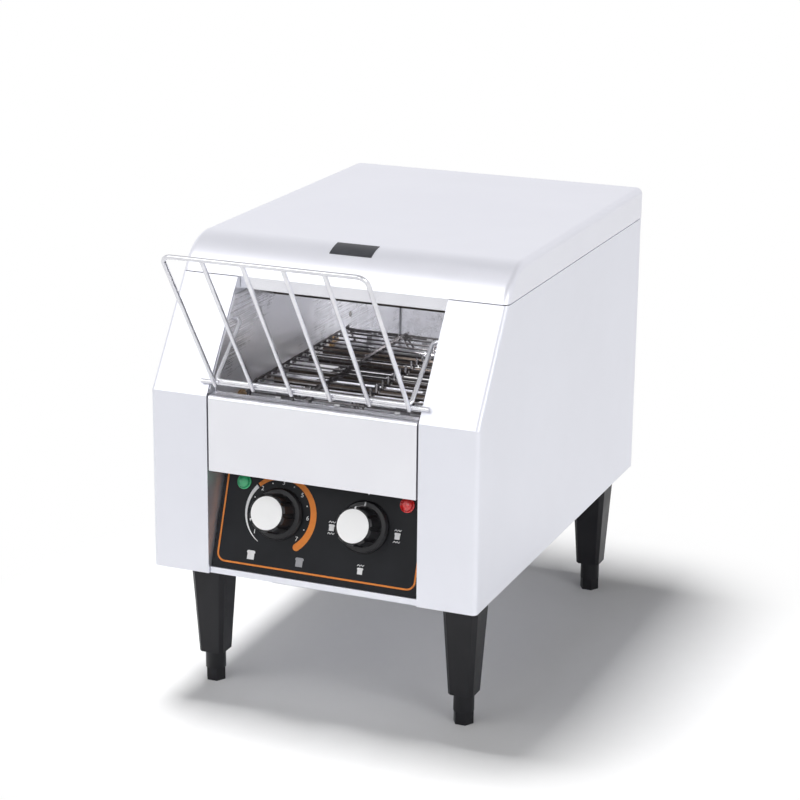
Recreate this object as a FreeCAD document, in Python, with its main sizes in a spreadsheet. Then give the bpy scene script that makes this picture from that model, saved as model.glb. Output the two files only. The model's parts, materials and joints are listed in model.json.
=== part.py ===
# Countertop conveyor toaster, at its real size in millimetres.
# Each piece is drawn with x across, y back from the front face and z up from the casing's underside.
# Its placement then lifts it onto the legs and centres the whole machine over the origin.
import FreeCAD, Part
import math
import os
import re
import Sketcher
from FreeCAD import Placement, Rotation, Vector

# Driving dimensions
SIZES = (
    ("casing_width", 288, "outside width of the casing"),
    ("casing_depth", 418, "front face to rear face"),
    ("casing_height", 268.5, "underside to the top of the lid"),
    ("standing_height", 118.5, "floor to the underside, legs and feet"),
    ("panel_sheet", 1.2, "sheet of the outer panels"),
    ("liner_sheet", 0.8, "sheet of the tunnel and chutes"),
    ("seat_gap", 0.3, "gap between folded sheets that meet edge to edge"),
    ("hinge_gap", 0.08, "radial clearance of a pin in its hole"),
    ("column_width", 51, "width of each front column"),
    ("fold_radius", 4, "outer radius of the front folds"),
    ("slope_foot", 153.5, "height where the columns start to lean back"),
    ("slope_run", 59.8, "how far the columns lean back"),
    ("lid_height", 28.5, "how far the lid stands over the side panels"),
    ("flange_width", 11, "turned-in edges of the side panels"),
    ("column_flange", 36, "depth of the columns' inner flanges"),
    ("lid_seam", 0.8, "shadow gap below the lid"),
    ("lid_roll", 45, "radius of the lid's rolled front"),
    ("lid_front", 56, "where the roll would turn upright"),
    ("lid_side_radius", 6, "radius along the lid's side edges"),
    ("lid_overhang", 1, "how far the lid passes the rear"),
    ("lid_hem", 8, "height of the lid's inner hem"),
    ("front_panel_gap", 1.5, "gap beside the front panel"),
    ("front_panel_foot", 90, "lower edge of the front panel"),
    ("front_panel_head", 154.5, "upper edge of the front panel"),
    ("front_panel_depth", 14, "depth of the front panel's flanges"),
    ("header_back", 64.5, "how far back the header strip stands"),
    ("header_drop", 10.3, "lower edge of the header strip below the top of the side panels"),
    ("header_height", 14, "height of the header strip"),
    ("header_flange", 12, "lower flange of the header strip"),
    ("panel_tilt", 19.65, "lean of the control panel from upright, in degrees"),
    ("panel_back", 4, "how far back the control panel's foot stands"),
    ("panel_foot", 5.5, "height of the control panel's foot"),
    ("panel_length", 96, "height of the control panel along its slope"),
    ("panel_plate", 1.5, "thickness of the control panel"),
    ("knob_offset", 38.3, "each knob's distance from the middle"),
    ("knob_height", 50.5, "knob centres above the control panel's foot, along the slope"),
    ("knob_skirt_radius", 21.6, "radius of the knobs' skirts"),
    ("knob_body_radius", 16, "radius of the fluted grips"),
    ("knob_length", 25, "how far a knob stands out"),
    ("knob_gap", 0.5, "gap between a knob's skirt and the control panel"),
    ("knob_skirt_height", 4, "height of the skirt"),
    ("flute_count", 10, "flutes round a knob"),
    ("flute_width", 5.6, "width of a flute at its mouth"),
    ("flute_depth", 1.5, "depth of a flute"),
    ("cap_radius", 13.8, "radius of a knob's cap"),
    ("cap_recess", 1.2, "depth of a cap's seat"),
    ("spindle_radius", 3, "radius of the switch spindles"),
    ("bush_radius", 4.5, "radius of the threaded switch bushes"),
    ("nut_flats", 14, "across flats of the bush nuts"),
    ("nut_height", 2.2, "height of the bush nuts"),
    ("control_width", 34, "width of the speed control"),
    ("control_depth", 17, "depth of the speed control"),
    ("switch_radius", 19, "radius of the selector switch"),
    ("switch_depth", 30, "depth of the selector switch"),
    ("lamp_offset", 73, "each lamp's distance from the middle"),
    ("lamp_height", 73, "lamps above the control panel's foot, along the slope"),
    ("lamp_radius", 5.4, "radius of the lamps' lenses"),
    ("lamp_barrel", 4.2, "radius of the lamps' barrels"),
    ("lamp_depth", 20, "length of a lamp behind the panel"),
    ("lip_height", 5.2, "height of the base plate's front lip"),
    ("lip_back", 2.6, "how far back the front lip stands"),
    ("vent_width", 134, "width of the vent pan"),
    ("vent_front", 34, "front of the vent pan"),
    ("vent_length", 166, "length of the vent pan's mouth"),
    ("vent_slope", 33, "run of the vent pan's sloped ends"),
    ("vent_depth", 28, "how far the vent pan hangs down"),
    ("vent_flange", 10, "flange round the vent pan's mouth"),
    ("slot_count", 15, "slots in the vent pan's front"),
    ("slot_pitch", 7.8, "spacing of those slots"),
    ("slot_width", 4, "width of a slot"),
    ("slot_length", 13, "height of a slot"),
    ("louvre_count", 14, "vent slots down each side of the rear panel"),
    ("louvre_pitch", 10, "spacing of the rear vent slots"),
    ("louvre_foot", 78, "lowest rear vent slot"),
    ("louvre_width", 22, "length of a rear vent slot"),
    ("outlet_height", 81.5, "top of the discharge opening"),
    ("tunnel_half", 92.2, "half the width inside the tunnel"),
    ("tunnel_foot", 92, "lower edge of the tunnel walls over the electrics"),
    ("tunnel_drop", 14, "ceiling of the tunnel below the top of the side panels"),
    ("wall_inset", 9, "rear edge of the tunnel walls before the casing's rear"),
    ("liner_inset", 6, "front face of the rear liner before the casing's rear"),
    ("shield_height", 103.5, "heat shield below the belt"),
    ("shield_front", 18, "front edge of the heat shield"),
    ("shield_end", 262, "rear edge of the heat shield, where the chute starts"),
    ("shield_flange", 8, "turned-up sides of the heat shield"),
    ("chute_drop", 66, "how far the chute falls"),
    ("chute_run", 58, "how far back the chute leads"),
    ("tray_half", 88, "half the width of the discharge tray"),
    ("tray_front", 296, "front of the discharge tray"),
    ("tray_wall", 16, "height of the tray's walls"),
    ("tray_reach", 5, "how far the tray's grip stands out at the rear"),
    ("tray_float", 0.6, "height of the tray over the base plate"),
    ("belt_pitch", 12.7, "spacing of the belt's wires"),
    ("belt_teeth", 8, "teeth of a belt sprocket"),
    ("belt_spans", 15, "wire spacings between the two shafts"),
    ("belt_wire", 0.9, "radius of the belt's wire"),
    ("belt_half", 80.5, "half the width of the belt"),
    ("belt_joint", 27, "joint rows each side of the middle"),
    ("belt_front", 61, "front shaft behind the front face"),
    ("belt_top", 150.6, "height of the upper run's wires"),
    ("sprocket_spread", 53.5, "outer belt sprockets from the middle"),
    ("sprocket_width", 5, "width of a belt sprocket"),
    ("tooth_height", 2.8, "height of a belt sprocket's teeth, and twice that of a chain wheel's"),
    ("shaft_radius", 4, "radius of the belt shafts"),
    ("shaft_left", 101, "left end of both shafts"),
    ("drive_end", 114, "right end of the drive shaft"),
    ("bush_wall", 3, "wall of a shaft bearing"),
    ("bush_length", 5, "length of a bearing outside the wall"),
    ("bush_flange", 2, "thickness of a bearing's flange"),
    ("chain_pitch", 6.35, "pitch of the drive chain"),
    ("chain_links", 44, "links in the drive chain"),
    ("chain_offset", 108, "drive chain right of the middle"),
    ("roller_radius", 1.65, "radius of a chain roller"),
    ("roller_length", 3.1, "length of a chain roller"),
    ("link_plate", 0.8, "thickness of a link plate"),
    ("driven_teeth", 20, "teeth of the sprocket on the drive shaft"),
    ("driving_teeth", 12, "teeth of the sprocket on the motor"),
    ("chain_lean", 23.8, "lean of the chain from upright, in degrees"),
    ("motor_radius", 26, "radius of the motor's can"),
    ("motor_length", 62, "length of the motor's can"),
    ("gearbox_width", 26, "width of the motor's gearbox"),
    ("gearbox_side", 60, "side of the motor's gearbox"),
    ("bracket_sheet", 1.6, "sheet of the motor bracket"),
    ("output_radius", 3, "radius of the motor's output shaft"),
    ("heater_radius", 3.25, "radius of a heater tube"),
    ("heater_bend", 15, "bend radius of a heater hairpin"),
    ("heater_reach", 66, "straight length of a hairpin right of the middle"),
    ("heater_tail", 12, "heater ends beyond the left wall"),
    ("heater_first", 144, "middle of the first hairpin"),
    ("heater_spacing", 72, "spacing of the hairpins"),
    ("heater_drop", 13, "upper heaters below the tunnel's ceiling"),
    ("fan_side", 92, "side of the cooling fan"),
    ("fan_height", 25, "height of the cooling fan"),
    ("fan_back", 105, "middle of the cooling fan"),
    ("fan_bore", 43.5, "radius of the fan's bore"),
    ("blade_count", 7, "blades of the fan"),
    ("hub_radius", 18, "radius of the fan's hub"),
    ("pin_radius", 2, "radius of the fan's pin"),
    ("leg_across", 115, "legs from the middle"),
    ("leg_front", 54, "front legs behind the front face"),
    ("leg_inset", 27, "rear legs before the rear face"),
    ("leg_top", 33, "width of a leg at its top"),
    ("leg_bottom", 22, "width of a leg at its lower end"),
    ("leg_clear", 27, "lower end of a leg above the floor"),
    ("leg_flange", 3, "thickness of a leg's top flange"),
    ("foot_radius", 8.75, "radius of a foot's sleeve"),
    ("foot_length", 58, "length of a foot"),
    ("foot_flats", 15.5, "across flats of a foot's hexagon"),
    ("foot_hexagon", 11, "height of a foot's hexagon"),
    ("foot_gap", 0.05, "radial clearance of a foot in its leg"),
    ("foot_travel", 14, "how far a foot screws in"),
    ("bolt_radius", 3, "radius of a leg bolt"),
    ("gland_across", 118, "cord gland left of the middle"),
    ("gland_height", 32, "cord gland above the underside"),
    ("gland_radius", 9, "radius of the cord gland's dome"),
    ("gland_reach", 12, "how far the cord gland stands out at the rear"),
    ("cord_radius", 4, "bore of the cord gland"),
    ("rack_wire", 1.9, "radius of the load rack's wire"),
    ("rack_reach", 89, "how far the load rack stands out at the front"),
    ("rack_rise", 289.5, "height of the rack's top bar"),
    ("rack_half", 85, "half the width of the rack"),
    ("rack_rod_half", 99.8, "half the length of the rack's cross rod"),
    ("rack_bars", 6, "wires in the rack's grid, with its two sides"),
    ("rack_bend", 8, "bend radius of the rack's corners"),
    ("rack_along", 12, "where the rod rests, along the slope"),
    ("rack_pivot_back", 49, "rack hinge behind the front face"),
    ("rack_pivot_drop", 32.5, "rack hinge below the top of the side panels"),
    ("rack_tip", 98, "tips of the rack's arms from the middle"),
    ("rack_rest_gap", 0.3, "gap between the resting rod and the columns"),
)

document = FreeCAD.newDocument("ConveyorToaster")
sheet = document.addObject("Spreadsheet::Sheet", "Sizes")
for row, (name, amount, meaning) in enumerate(SIZES, start=1):
    sheet.set(f"A{row}", meaning)
    sheet.set(f"B{row}", str(amount))
    sheet.setAlias(f"B{row}", name)
document.recompute()
NAMES = {name for name, amount, meaning in SIZES}
pieces = []

# Sizes that follow from the driving dimensions
HALF = "(casing_width / 2)"
COLUMN = f"({HALF} - column_width)"
SEAM = "(casing_height - lid_height)"
TUNNEL_HEAD = f"({SEAM} - tunnel_drop)"
HEADER_FOOT = f"({SEAM} - header_drop)"
RACK_PIVOT = f"({SEAM} - rack_pivot_drop)"
UPPER_HEATER = f"({TUNNEL_HEAD} - heater_drop)"
LINER_BACK = "(casing_depth - liner_inset)"
TUNNEL_BACK = "(casing_depth - wall_inset)"
LEG_BACK = "(casing_depth - leg_inset)"
MIDDLE_Y = "((rack_reach - casing_depth - gland_reach) / 2)"
DECK = "(2 * panel_sheet)"
SLOPE = f"sqrt(slope_run ^ 2 + ({SEAM} - slope_foot) ^ 2)"
LEAN_Y = f"(slope_run / {SLOPE})"
LEAN_Z = f"(({SEAM} - slope_foot) / {SLOPE})"
ROD_Y = f"(rack_along * {LEAN_Y} - (rack_wire + rack_rest_gap) * {LEAN_Z})"
ROD_Z = f"(slope_foot + rack_along * {LEAN_Z} + (rack_wire + rack_rest_gap) * {LEAN_Y})"
BELT_RADIUS = "(belt_pitch / 2 / sin(180 / belt_teeth))"
SHAFT_Z = f"(belt_top - {BELT_RADIUS})"
SHAFT_BACK = "(belt_front + belt_spans * belt_pitch)"
DRIVEN_RADIUS = "(chain_pitch / 2 / sin(180 / driven_teeth))"
DRIVING_RADIUS = "(chain_pitch / 2 / sin(180 / driving_teeth))"
FREE_LINKS = "(chain_links - (driven_teeth + driving_teeth) / 2)"
TOOTH_STEP = "((driven_teeth - driving_teeth) / 2 / pi)"
CHAIN_CENTRES = f"(chain_pitch / 4 * ({FREE_LINKS} + sqrt({FREE_LINKS} ^ 2 - 2 * {TOOTH_STEP} ^ 2)))"
MOTOR_Y = f"({SHAFT_BACK} - {CHAIN_CENTRES} * sin(chain_lean))"
MOTOR_Z = f"({SHAFT_Z} - {CHAIN_CENTRES} * cos(chain_lean))"
LEG_FOOT = "(leg_clear - standing_height)"


def bound(text):
    """Point every size name of an expression at its cell."""
    return re.sub("[a-z][a-z_]*", lambda word: "Sizes." + word[0] if word[0] in NAMES else word[0], text)


def number(text):
    """The value of an expression of sizes."""
    amount = sheet.evalExpression(bound(text))
    return float(getattr(amount, "Value", amount))


def place(item, x="0", y="0", z="0", axis=None, angle="0"):
    """Put a piece down by its own origin, and turn it about an axis."""
    if axis:
        item.Placement = Placement(Vector(), Rotation(Vector(*axis), number(angle)))
        item.setExpression("Placement.Rotation.Angle", bound(angle))
    item.setExpression("Placement.Base.x", bound(x))
    item.setExpression("Placement.Base.y", bound(f"{MIDDLE_Y} + {y}"))
    item.setExpression("Placement.Base.z", bound(f"standing_height + {z}"))


def body(label, x="0", y="0", z="0", axis=None, angle="0", kept=True):
    """Start a piece that is built up feature by feature."""
    item = document.addObject("PartDesign::Body", label)
    item.Label = label
    place(item, x, y, z, axis, angle)
    if kept:
        pieces.append(item)
    return item


def panel_body(label, x, y, kept=True):
    """Start a piece that stands square on the control panel, x across and y up its slope."""
    back = f"panel_back + ({y}) * sin(panel_tilt)"
    height = f"panel_foot + ({y}) * cos(panel_tilt)"
    return body(label, x, back, height, (1, 0, 0), "90 - panel_tilt", kept)


def cross_body(label, x, y, z, kept=True):
    """Start a piece that is round about a line across the machine, its own z pointing right."""
    return body(label, x, y, z, (0, 1, 0), "90", kept)


def origin_item(item, role):
    """A plane or axis of a body's own origin."""
    return next(found for found in item.Origin.OriginFeatures if found.Role == role)


def box(left, right, low, high):
    """Corner points of a rectangle."""
    return [(left, low), (right, low), (right, high), (left, high)]


def circle(u, v, radius):
    """A circle for a sketch."""
    return ("circle", u, v, radius)


def hexagon(flats):
    """Corner points of a hexagon about the origin, from its width across flats."""
    corner = f"({flats}) / 2 / cos(30)"
    return [(f"{corner} * cos({turn})", f"{corner} * sin({turn})") for turn in range(0, 360, 60)]


def tie(drawing, kind, shape, spot, text):
    """Hold a sketch point at a bound distance from the sketch's origin."""
    index = drawing.addConstraint(Sketcher.Constraint(kind, -1, 1, shape, spot, number(text)))
    drawing.setExpression(f"Constraints[{index}]", bound(text))


def draw_circle(drawing, u, v, radius):
    """Add a bound circle to a sketch."""
    centre = Vector(number(u), number(v), 0)
    shape = drawing.addGeometry(Part.Circle(centre, Vector(0, 0, 1), number(radius)), False)
    tie(drawing, "DistanceX", shape, 3, u)
    tie(drawing, "DistanceY", shape, 3, v)
    index = drawing.addConstraint(Sketcher.Constraint("Radius", shape, number(radius)))
    drawing.setExpression(f"Constraints[{index}]", bound(radius))


def draw_outline(drawing, points):
    """Add a closed run of bound straight lines to a sketch."""
    spots = [Vector(number(u), number(v), 0) for u, v in points]
    first = drawing.GeometryCount
    ends = spots[1:] + spots[:1]
    drawing.addGeometry([Part.LineSegment(start, end) for start, end in zip(spots, ends)], False)
    for index, (u, v) in enumerate(points):
        following = first + (index + 1) % len(points)
        drawing.addConstraint(Sketcher.Constraint("Coincident", first + index, 2, following, 1))
        tie(drawing, "DistanceX", first + index, 1, u)
        tie(drawing, "DistanceY", first + index, 1, v)


def sketch(item, axis, at, shapes):
    """Draw shapes on a plane square to one of the piece's axes."""
    role, sign = {"x": ("YZ_Plane", 1), "y": ("XZ_Plane", -1), "z": ("XY_Plane", 1)}[axis]
    drawing = item.newObject("Sketcher::SketchObject", f"{item.Label}_sketch")
    drawing.AttachmentSupport = [(origin_item(item, role), "")]
    drawing.MapMode = "FlatFace"
    drawing.setExpression("AttachmentOffset.Base.z", bound(f"{sign} * ({at})"))
    for shape in shapes:
        if shape[0] == "circle":
            draw_circle(drawing, *shape[1:])
        else:
            draw_outline(drawing, shape)
    return drawing


def pad(item, axis, start, length, *shapes):
    """Grow shapes from a start along an axis."""
    drawing = sketch(item, axis, start, shapes)
    feature = item.newObject("PartDesign::Pad", f"{item.Label}_pad")
    feature.Profile = drawing
    feature.setExpression("Length", bound(length))
    feature.Reversed = axis == "y"
    return feature


def cut(item, axis, start, length, *shapes):
    """Take shapes away from a start along an axis, and make sure that something went."""
    document.recompute()
    before = item.Tip.Shape.Volume
    drawing = sketch(item, axis, start, shapes)
    feature = item.newObject("PartDesign::Pocket", f"{item.Label}_pocket")
    feature.Profile = drawing
    feature.setExpression("Length", bound(length))
    feature.Reversed = axis != "y"
    document.recompute()
    if feature.Shape.Volume > before - 0.01:
        raise RuntimeError(f"{item.Label}: a pocket cut nothing")
    return feature


def spin(item, *shapes):
    """Turn shapes of radius and height about the piece's own z axis."""
    drawing = sketch(item, "y", "0", shapes)
    feature = item.newObject("PartDesign::Revolution", f"{item.Label}_turned")
    feature.Profile = drawing
    feature.ReferenceAxis = (drawing, ["V_Axis"])
    feature.Angle = 360
    return feature


def row_of(item, feature, role, count, pitch):
    """Repeat a feature in a row."""
    pattern = item.newObject("PartDesign::LinearPattern", f"{item.Label}_row")
    pattern.Originals = [feature]
    pattern.Direction = (origin_item(item, role), [""])
    pattern.setExpression("Length", bound(f"({count} - 1) * {pitch}"))
    pattern.setExpression("Occurrences", bound(count))
    item.Tip = pattern
    return pattern


def ring_of(item, feature, count):
    """Repeat a feature round the piece's own z axis."""
    pattern = item.newObject("PartDesign::PolarPattern", f"{item.Label}_ring")
    pattern.Originals = [feature]
    pattern.Axis = (origin_item(item, "Z_Axis"), [""])
    pattern.Angle = 360
    pattern.setExpression("Occurrences", bound(count))
    item.Tip = pattern
    return pattern


def lies_at(shape, x=None, y=None, z=None):
    """Whether all of an edge or face lies at the given places."""
    limits = shape.BoundBox
    spans = ((x, limits.XMin, limits.XMax), (y, limits.YMin, limits.YMax), (z, limits.ZMin, limits.ZMax))
    return all(place is None or abs(low - number(place)) < 0.02 and abs(high - number(place)) < 0.02
               for place, low, high in spans)


def round_off(item, radius, chosen):
    """Round the edges that a test picks out."""
    document.recompute()
    base = item.Tip
    names = [f"Edge{index}" for index, edge in enumerate(base.Shape.Edges, start=1) if chosen(edge)]
    feature = item.newObject("PartDesign::Fillet", f"{item.Label}_fillet")
    feature.Base = (base, names)
    feature.setExpression("Radius", bound(radius))
    return feature


def hollow(item, wall, chosen):
    """Leave a thin wall inside a solid, open at the faces that a test picks out."""
    document.recompute()
    base = item.Tip
    names = [f"Face{index}" for index, face in enumerate(base.Shape.Faces, start=1) if chosen(face)]
    feature = item.newObject("PartDesign::Thickness", f"{item.Label}_wall")
    feature.Base = (base, names)
    feature.setExpression("Value", bound(wall))
    feature.Reversed = True
    feature.Mode = 0
    feature.Join = 1
    document.recompute()
    if feature.Shape.Volume > base.Shape.Volume:
        raise RuntimeError(f"{item.Label}: the wall grew outwards")
    return feature


def mirrored(label, source):
    """The left-hand twin of a right-hand piece."""
    twin = document.addObject("Part::Mirroring", label)
    twin.Label = label
    twin.Source = source
    twin.Normal = Vector(1, 0, 0)
    pieces.append(twin)
    return twin


def shaped(label, solids):
    """Keep solids that were worked out in the piece's own frame as one piece."""
    item = document.addObject("Part::Feature", label)
    item.Label = label
    item.Shape = Part.makeCompound(solids) if len(solids) > 1 else solids[0]
    place(item)
    pieces.append(item)
    return item


def copies(label, source, shifts):
    """Repeat a finished body at several shifts, as one piece of separate solids."""
    document.recompute()
    solids = []
    for shift in shifts:
        twin = source.Shape.copy()
        twin.translate(Vector(*(number(part) for part in shift)))
        solids.append(twin)
    item = document.addObject("Part::Feature", label)
    item.Label = label
    item.Shape = Part.makeCompound(solids)
    pieces.append(item)
    return item


def make_side_panel():
    """Right side panel with its folded front column, and its left-hand twin."""
    item = body("right_side_panel")
    profile = [("0", "0"), ("0", "slope_foot"), ("slope_run", SEAM),
               ("casing_depth", SEAM), ("casing_depth", "0")]
    pad(item, "x", COLUMN, "column_width", profile)
    round_off(item, "fold_radius", lambda edge: lies_at(edge, x=HALF)
              and edge.BoundBox.YMax < number("slope_run") + 1
              and edge.BoundBox.ZLength > 1)
    hollow(item, "panel_sheet", lambda face: lies_at(face, x=COLUMN))
    behind = [("column_flange - 6", "-1"), ("column_flange - 6", "slope_foot - 60"),
              ("slope_run + 20", "slope_foot"), ("slope_run + 20", f"{SEAM} + 1"),
              ("casing_depth + 1", f"{SEAM} + 1"), ("casing_depth + 1", "-1")]
    cut(item, "x", f"{COLUMN} - 1", "column_width + 1 - flange_width", behind)
    flange = [("0", "0"), ("0", "slope_foot"), ("slope_run", SEAM), ("slope_run + 18", SEAM),
              ("column_flange", "slope_foot - 40"), ("column_flange", "0")]
    pad(item, "x", COLUMN, "panel_sheet", flange)
    cut(item, "x", f"{COLUMN} - 1", "panel_sheet + 2",
        circle("rack_pivot_back", RACK_PIVOT, "rack_wire + hinge_gap"))
    mirrored("left_side_panel", item)


def make_lid():
    """Lid with its rolled front and an inner hem that seats on the side panels."""
    item = body("lid")
    foot = f"{SEAM} + lid_seam"
    pad(item, "x", f"-{HALF}", "casing_width",
        box("lid_front", "casing_depth + lid_overhang", "casing_height - lid_roll - 20", "casing_height"))
    round_off(item, "lid_roll", lambda edge: lies_at(edge, y="lid_front", z="casing_height"))
    round_off(item, "lid_side_radius", lambda edge: edge.BoundBox.XLength < 0.01
              and lies_at(edge, z="casing_height"))
    cut(item, "z", "casing_height - lid_roll - 30", f"{foot} - (casing_height - lid_roll - 30)",
        box(f"-{HALF} - 1", f"{HALF} + 1", "0", "casing_depth + 20"))
    hollow(item, "panel_sheet", lambda face: lies_at(face, z=foot))
    inner = f"({HALF} - panel_sheet)"
    back = "(casing_depth + lid_overhang - panel_sheet)"
    rim = "(slope_run + 6)"
    hem = [(f"-{inner}", rim), (f"-{inner} + panel_sheet", rim),
           (f"-{inner} + panel_sheet", f"{back} - panel_sheet"),
           (f"{inner} - panel_sheet", f"{back} - panel_sheet"), (f"{inner} - panel_sheet", rim),
           (inner, rim), (inner, back), (f"-{inner}", back)]
    pad(item, "z", SEAM, "lid_hem", hem)


def make_front_panel():
    """Folded panel below the mouth, with its rounded upper edge."""
    item = body("front_panel")
    half = f"({COLUMN} - front_panel_gap)"
    pad(item, "y", "0", "front_panel_depth", box(f"-{half}", half, "front_panel_foot", "front_panel_head"))
    round_off(item, "fold_radius", lambda edge: lies_at(edge, y="0", z="front_panel_head"))
    hollow(item, "panel_sheet", lambda face: lies_at(face, y="front_panel_depth"))


def make_header():
    """Strip above the mouth, below the lid's rolled front."""
    item = body("header_strip")
    half = f"({COLUMN} - seat_gap)"
    corner = [("header_back", HEADER_FOOT), ("header_back", f"{HEADER_FOOT} + header_height"),
              ("header_back + panel_sheet", f"{HEADER_FOOT} + header_height"),
              ("header_back + panel_sheet", f"{HEADER_FOOT} + panel_sheet"),
              ("header_back + header_flange", f"{HEADER_FOOT} + panel_sheet"),
              ("header_back + header_flange", HEADER_FOOT)]
    pad(item, "x", f"-{half}", f"2 * {half}", corner)


def make_base():
    """Base plate with its front lip, fan intake and leg bolt holes."""
    item = body("base_plate")
    narrow = f"({COLUMN} - seat_gap)"
    wide = f"({HALF} - panel_sheet - seat_gap)"
    step = "(column_flange + 2)"
    back = "(casing_depth - 2 * panel_sheet - seat_gap)"
    plate = [(f"-{narrow}", "lip_back"), (narrow, "lip_back"), (narrow, step), (wide, step),
             (wide, back), (f"-{wide}", back), (f"-{wide}", step), (f"-{narrow}", step)]
    holes = [circle(f"{side} * leg_across", place_back, "bolt_radius + 0.2")
             for side in (-1, 1) for place_back in ("leg_front", LEG_BACK)]
    pad(item, "z", "panel_sheet", "panel_sheet", plate, circle("0", "fan_back", "fan_bore"), *holes)
    pad(item, "z", "0", DECK, box(f"-{narrow}", narrow, "lip_back", "lip_back + panel_sheet"))
    pad(item, "y", "lip_back", "panel_sheet", box(f"-{narrow}", narrow, "0", "lip_height"))


def make_vent_pan():
    """Slotted pan that hangs below the base plate."""
    item = body("vent_pan")
    end = "(vent_front + vent_length)"
    profile = [("vent_front", "panel_sheet"), ("vent_front + vent_slope", "-vent_depth"),
               (f"{end} - vent_slope", "-vent_depth"), (end, "panel_sheet")]
    pad(item, "x", "-vent_width / 2", "vent_width", profile)
    hollow(item, "liner_sheet", lambda face: lies_at(face, z="panel_sheet"))
    pad(item, "z", "panel_sheet - liner_sheet", "liner_sheet",
        box("-vent_width / 2 - vent_flange", "vent_width / 2 + vent_flange", "vent_front - vent_flange",
            f"{end} + vent_flange"),
        box("-vent_width / 2 + liner_sheet", "vent_width / 2 - liner_sheet", "vent_front + 2 * liner_sheet",
            f"{end} - 2 * liner_sheet"))
    first = "(-(slot_count - 1) * slot_pitch / 2 - slot_width / 2)"
    slot = cut(item, "y", "vent_front", "vent_slope",
               box(first, f"{first} + slot_width", "-4 - slot_length", "-4"))
    row_of(item, slot, "X_Axis", "slot_count", "slot_pitch")


def make_rear_panel():
    """Rear panel with the discharge opening and two rows of vent slots."""
    item = body("rear_panel")
    half = f"({HALF} - panel_sheet - seat_gap)"
    mouth = "(tunnel_half - 1)"
    front = "(casing_depth - 2 * panel_sheet)"
    arch = [(f"-{half}", "panel_sheet + seat_gap"), (f"-{mouth}", "panel_sheet + seat_gap"),
            (f"-{mouth}", "outlet_height"), (mouth, "outlet_height"), (mouth, "panel_sheet + seat_gap"),
            (half, "panel_sheet + seat_gap"), (half, f"{SEAM} - panel_sheet - seat_gap"),
            (f"-{half}", f"{SEAM} - panel_sheet - seat_gap")]
    pad(item, "y", front, "panel_sheet", arch,
        circle("-gland_across", "gland_height", "gland_radius - 2"))
    middle = f"({half} + tunnel_half) / 2 - 3"
    slots = [box(f"{side} * {middle} - louvre_width / 2", f"{side} * {middle} + louvre_width / 2",
                 "louvre_foot", "louvre_foot + slot_width") for side in (-1, 1)]
    slot = cut(item, "y", f"{front} - 1", "panel_sheet + 2", *slots)
    row_of(item, slot, "Z_Axis", "louvre_count", "louvre_pitch")


def make_control_panel():
    """Sloping panel that carries the knobs and lamps."""
    item = panel_body("control_panel", "0", "0")
    half = "(tunnel_half - seat_gap)"
    pad(item, "z", "-panel_plate", "panel_plate", box(f"-{half}", half, "0", "panel_length"),
        circle("-knob_offset", "knob_height", "bush_radius + 0.1"),
        circle("knob_offset", "knob_height", "bush_radius + 0.1"),
        circle("-lamp_offset", "lamp_height", "lamp_barrel + 0.1"),
        circle("lamp_offset", "lamp_height", "lamp_barrel + 0.1"))


def make_tunnel_wall(label, side):
    """Side wall of the tunnel, which runs down beside the chute at the rear."""
    item = body(label)
    start = "tunnel_half" if side > 0 else "-tunnel_half - liner_sheet"
    outer = "tunnel_half" if side > 0 else "-tunnel_half - tray_wall"
    setback = "3"
    lean = f"(slope_run / ({SEAM} - slope_foot))"
    profile = [("front_panel_depth + 2", "tunnel_foot"), ("front_panel_depth + 2", "slope_foot + 4"),
               (f"{setback} + {lean} * 4", "slope_foot + 4"),
               (f"{setback} + {lean} * ({TUNNEL_HEAD} - slope_foot)", TUNNEL_HEAD),
               (TUNNEL_BACK, TUNNEL_HEAD), (TUNNEL_BACK, DECK),
               ("shield_end", DECK), ("shield_end", "tunnel_foot")]
    bush = "shaft_radius + bush_wall"
    holes = [circle("belt_front", SHAFT_Z, bush), circle(SHAFT_BACK, SHAFT_Z, bush),
             circle("rack_pivot_back", RACK_PIVOT, "rack_wire + hinge_gap")]
    if side < 0:
        holes += [circle(f"heater_first + {number_of} * heater_spacing + {turn} * heater_bend", height,
                         "heater_radius + 0.1")
                  for number_of in (0, 1) for turn in (-1, 1) for height in (UPPER_HEATER, SHAFT_Z)]
    pad(item, "x", start, "liner_sheet", profile, *holes)
    pad(item, "x", outer, "tray_wall", box("shield_end", TUNNEL_BACK, DECK, f"{DECK} + liner_sheet"))


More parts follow.
